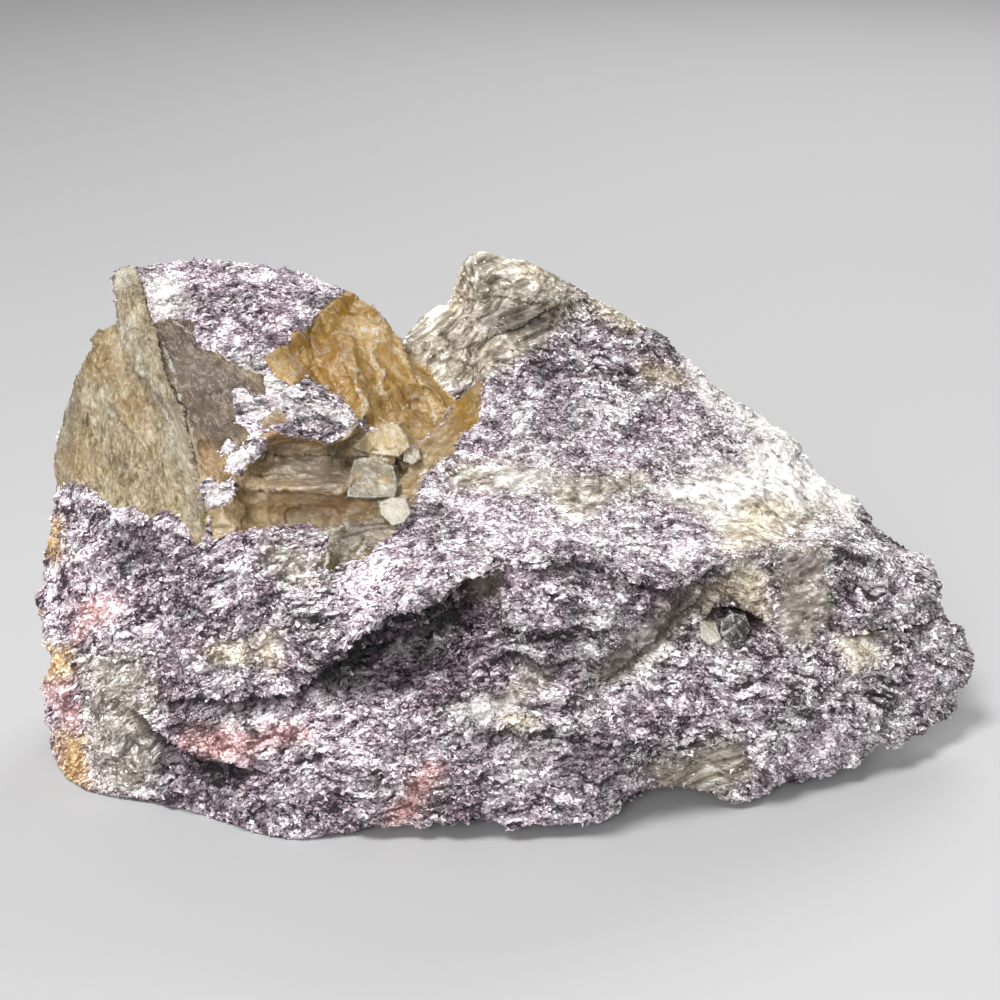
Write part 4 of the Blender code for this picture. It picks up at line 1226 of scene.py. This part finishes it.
QUARTZ_TONES = {
    "amber": ((0, (0.25, 0.12, 0.01)), (0.5, (0.41, 0.22, 0.026)), (1, (0.7, 0.48, 0.15))),
    "honey": ((0, (0.2, 0.12, 0.04)), (0.5, (0.52, 0.355, 0.16)), (1, (0.95, 0.83, 0.56))),
    "pale": ((0, (0.18, 0.14, 0.075)), (0.5, (0.53, 0.46, 0.31)), (1, (1, 0.98, 0.87))),
    "brown": ((0, (0.2, 0.105, 0.035)), (0.5, (0.5, 0.31, 0.14)), (1, (0.8, 0.63, 0.4))),
    "haze": ((0, (0.13, 0.095, 0.06)), (0.5, (0.31, 0.24, 0.165)), (1, (0.66, 0.57, 0.43))),
    "clay": ((0, (0.08, 0.05, 0.028)), (0.5, (0.185, 0.126, 0.078)), (1, (0.44, 0.34, 0.24))),
    "olive": ((0, (0.05, 0.032, 0.012)), (0.5, (0.13, 0.095, 0.045)), (1, (0.42, 0.35, 0.22))),
    "milk": ((0, (0.42, 0.38, 0.28)), (0.5, (0.74, 0.7, 0.58)), (1, (0.98, 0.97, 0.9))),
    "pearl": ((0, (0.13, 0.105, 0.06)), (0.5, (0.36, 0.31, 0.2)), (1, (0.86, 0.82, 0.7))),
    "jet": ((0, (0.02, 0.018, 0.018)), (0.5, (0.09, 0.082, 0.08)), (1, (0.5, 0.48, 0.46))),
}
# The white of veins, flecks and rims: partly bruised and cracked quartz, partly painted glints and
# highlights.
WHITE_AND_GLINTS = (0.95, 0.93, 0.86)


def quartz_finish(tones, streaks, streaky, veins, flecks):
    """Cloudy quartz: streaked tones, patches of other tints, white flecks that are partly painted glints,
    veins, and rims that are partly painted highlights.
    """
    def build(recipe):
        place = recipe.scaled(recipe.node("ShaderNodeTexCoord", None, None, "Object"), 1 / MM)
        drawn = recipe.turned(place, streaks, (7, 1, 1))
        short = recipe.turned(place, streaks, (2.2, 1, 1))
        streak = recipe.noise(drawn, 0.7, 4.0, 0.7) - 0.5
        cloud = recipe.noise(place, 5, 4.0, 0.6) - 0.5
        chip = recipe.axis(recipe.cells(short, 1.3, 1), 1) - 0.5
        tone = (0.46 + streak * streaky + cloud * 1.2 + chip * 0.25).between(0, 1)
        colour = recipe.ramp(tone, tones)
        ragged = (recipe.noise(short, 1.6, 3.0, 0.6) - 0.5) * 2.5
        for tint, stops in QUARTZ_TONES.items():
            share = (recipe.attribute(tint) + ragged).between(-1.8, 1.8)
            colour = recipe.mix(share, colour, recipe.ramp(tone, stops))
        crack = recipe.cells(short, 2.4, feature="DISTANCE_TO_EDGE")
        cracked = recipe.noise(place, 3.5, 2.0).between(0.5, 0.62)
        white = (1 - crack.between(0.01, 0.05)) * cracked * veins
        # White flecks and shards: partly painted glints, partly white fracture fringes.
        fleck = recipe.axis(recipe.cells(short, 0.36, 1), 0).between(0.84, 0.92)
        flecked = recipe.noise(place, 4, 3.0, 0.6).between(0.44, 0.58)
        shard = recipe.axis(recipe.cells(short, 1.0, 1), 2).between(0.86, 0.89)
        sharded = recipe.noise(place, 6, 3.0, 0.6).between(0.5, 0.56)
        white = white.most(fleck * flecked * flecks).most(shard * sharded * flecks * 0.6)
        # Rims: partly bruised edges, partly painted highlights along lit ridges.
        rim = (recipe.attribute("rim") + (recipe.noise(place, 1.2, 3.0, 0.7) - 0.5) * 2.4).between(0, 0.4)
        white = white.most(rim * 0.8)
        bump = recipe.node("ShaderNodeBump", None, {
            "Strength": 1.0, "Distance": MM,
            "Height": streak * 0.35 * streaky + recipe.noise(short, 0.5, 3.0, 0.6) * 0.12 + white * 0.1})
        return {
            "Base Color": recipe.mix(white, colour, WHITE_AND_GLINTS), "Normal": bump,
            "Roughness": recipe.noise(place, 2, 2.0) * 0.35 + white * 0.3 + 0.06,
        }
    return build


QUARTZ_KINDS = {
    # name: mineral, streaks, how streaky, how flecked, tones, colour of the light that 1 cm lets through
    "smoky_quartz": (
        "smoky quartz", STEEP, 1.8, 0.35,
        ((0, (0.12, 0.075, 0.028)), (0.35, (0.37, 0.27, 0.14)), (0.65, (0.72, 0.59, 0.37)),
         (1, (1, 0.97, 0.85))),
        (0.75, 0.6, 0.42)),
    "yellow_quartz": (
        "yellow quartz", STEEP, 0.7, 0.35,
        ((0, (0.26, 0.13, 0.018)), (0.4, (0.5, 0.3, 0.075)), (0.7, (0.7, 0.49, 0.21)),
         (1, (0.94, 0.84, 0.58))),
        (0.95, 0.6, 0.2)),
    "recess_quartz": (
        "recess quartz", LEVEL, 0.6, 0.2,
        ((0, (0.19, 0.12, 0.045)), (0.4, (0.47, 0.33, 0.17)), (0.7, (0.67, 0.51, 0.3)),
         (1, (0.93, 0.87, 0.7))),
        (0.8, 0.6, 0.36)),
}
QUARTZ_VEINS = 0.3
QUARTZ_CLEARNESS = 0.5
QUARTZ_IOR = 1.54
QUARTZ_DENSITY = 60


def glassy(name, build, smoke):
    return finish_material(
        name, build, smoke, QUARTZ_DENSITY, IOR=QUARTZ_IOR, Transmission_Weight=QUARTZ_CLEARNESS)


map_quartz(skin.data)
for name, (mineral, streaks, streaky, flecks, tones, smoke) in QUARTZ_KINDS.items():
    finish = quartz_finish(tones, streaks, streaky, QUARTZ_VEINS, flecks)
    finished(quartz_slab(name, mineral, streaks), glassy(name.replace("_", " "), finish, smoke))

# Loose crystals: small blocks of quartz and feldspar that stand in the recess and in a pocket of the
# right half. Each is a hull round its broken face and a wider root. Its edges are chipped white.
CRYSTAL_ROOT = 6
CRYSTAL_FOOT = 1.25
CRYSTAL_VOXEL = 0.2
CRYSTAL_EDGE = 0.2
SHARP = 0.3
CRYSTAL_RELIEF = {"face size": 5.0, "face height": 0.12, "streak width": 0.9, "streak height": 0.1}
CLEAR_TONES = ((0, (0.4, 0.27, 0.1)), (0.5, (0.68, 0.52, 0.27)), (1, (0.95, 0.88, 0.66)))
CLEAR_SMOKE = (0.9, 0.8, 0.55)
CRYSTALS = {
    # name: tint, corners of its face as (across, up, back)
    "lozenge_crystal": (None, (
        (-29.4, 10.6, -9), (-26.6, 13.2, -9.4), (-23, 15, -9.4), (-20.6, 15, -9.4), (-19, 13, -10),
        (-18.2, 10.6, -11.5), (-20.4, 8.8, -13), (-25.6, 9.4, -11.5))),
    "veined_crystal": ("pearl", (
        (-29, 8, -13.4), (-24.5, 8.4, -13), (-21.5, 6.5, -15), (-20.6, 3, -19), (-21.2, 0.8, -21.4),
        (-26, 0.4, -21.4), (-30.4, 0.8, -21), (-30, 4.6, -18))),
    "clear_crystal": ("pale", (
        (-19.2, 9.8, -11), (-17.8, 10.8, -10.4), (-16.4, 10.2, -10.4), (-16, 8.4, -11.6),
        (-17.6, 7.2, -12.6), (-19.2, 7.8, -12.2))),
    "nub_crystal": ("milk", (
        (-24, -0.6, -25.4), (-21.6, 0.2, -24.8), (-19, 0.2, -24.4), (-18, -2.6, -27.6), (-19.4, -4.4, -29),
        (-21.4, -5, -29.4), (-23.6, -3, -28))),
    "pocket_crystal": ("jet", (
        (44.4, -24.2, -23), (46.4, -22.8, -22.4), (49, -23.4, -21.6), (50, -25.6, -22.2), (48.8, -28, -25),
        (46, -28.6, -26), (44.2, -26.8, -25.4), (47, -25.4, -25.4))),
    "white_crystal": ("milk", (
        (40.2, -24.4, -26), (43, -24.8, -24), (44, -27.8, -26.8), (42, -29, -27.4), (40.4, -27.6, -27))),
}


def real_place(across, up, back):
    """The real place, in mm, of a point seen at across and up that lies back mm along +Y."""
    slope = up / SIGHT_DISTANCE
    reach = SIGHT_DISTANCE + back * math.cos(SIGHT_TILT)
    rise = reach * slope - back * math.sin(SIGHT_TILT)
    height = rise / (math.cos(SIGHT_TILT) + slope * math.sin(SIGHT_TILT))
    distance = reach - height * math.sin(SIGHT_TILT)
    return SIGHT_CENTRE + Vector((across * distance / SIGHT_DISTANCE, back, height))


def crystal(name, corners, tint):
    """A hull on fine faces, with the distance to its edges stored as its rim."""
    places = [real_place(*corner) for corner in corners]
    middle = sum(places, Vector()) / len(places)
    places += [middle.lerp(place, CRYSTAL_FOOT) - towards_eye * CRYSTAL_ROOT for place in places]
    bm = bmesh.new()
    hull = bmesh.ops.convex_hull(bm, input=[bm.verts.new(place * MM) for place in places])
    spare = [v for v in hull["geom_interior"] + hull["geom_unused"] if isinstance(v, bmesh.types.BMVert)]
    bmesh.ops.delete(bm, geom=list(set(spare)), context="VERTS")
    edges = [[np.array(v.co) / MM for v in e.verts] for e in bm.edges if e.calc_face_angle(0) > SHARP]
    piece = add_object(name, mesh_from(bm, name))
    refined(piece, CRYSTAL_VOXEL)
    places = vectors_of(piece.data.vertices, "co") / MM
    nearest = np.full(len(places), FARTHEST)
    for start, end in edges:
        run = end - start
        along = np.clip((places - start) @ run / (run @ run), 0, 1)
        nearest = np.minimum(nearest, np.linalg.norm(places - start - along[:, None] * run, axis=1))
    store(piece.data, "rim", CRYSTAL_EDGE - nearest)
    even = {kind: FARTHEST if kind == tint else -FARTHEST for kind in QUARTZ_TINTS}
    for kind, value in {**even, "front": 1.0, "edge reach": 1.0, "sunk": 0.0}.items():
        store(piece.data, kind, np.full(len(places), value))
    return piece


crystal_material = glassy("pale crystal", quartz_finish(CLEAR_TONES, STEEP, 0.8, 0.85, 0.5), CLEAR_SMOKE)
for name, (tint, corners) in CRYSTALS.items():
    piece = crystal(name, corners, tint)
    attach(piece, quartz_tree(STEEP), CRYSTAL_RELIEF)
    finished(piece, crystal_material)

for helper in (skin, relief):
    bpy.data.objects.remove(helper)
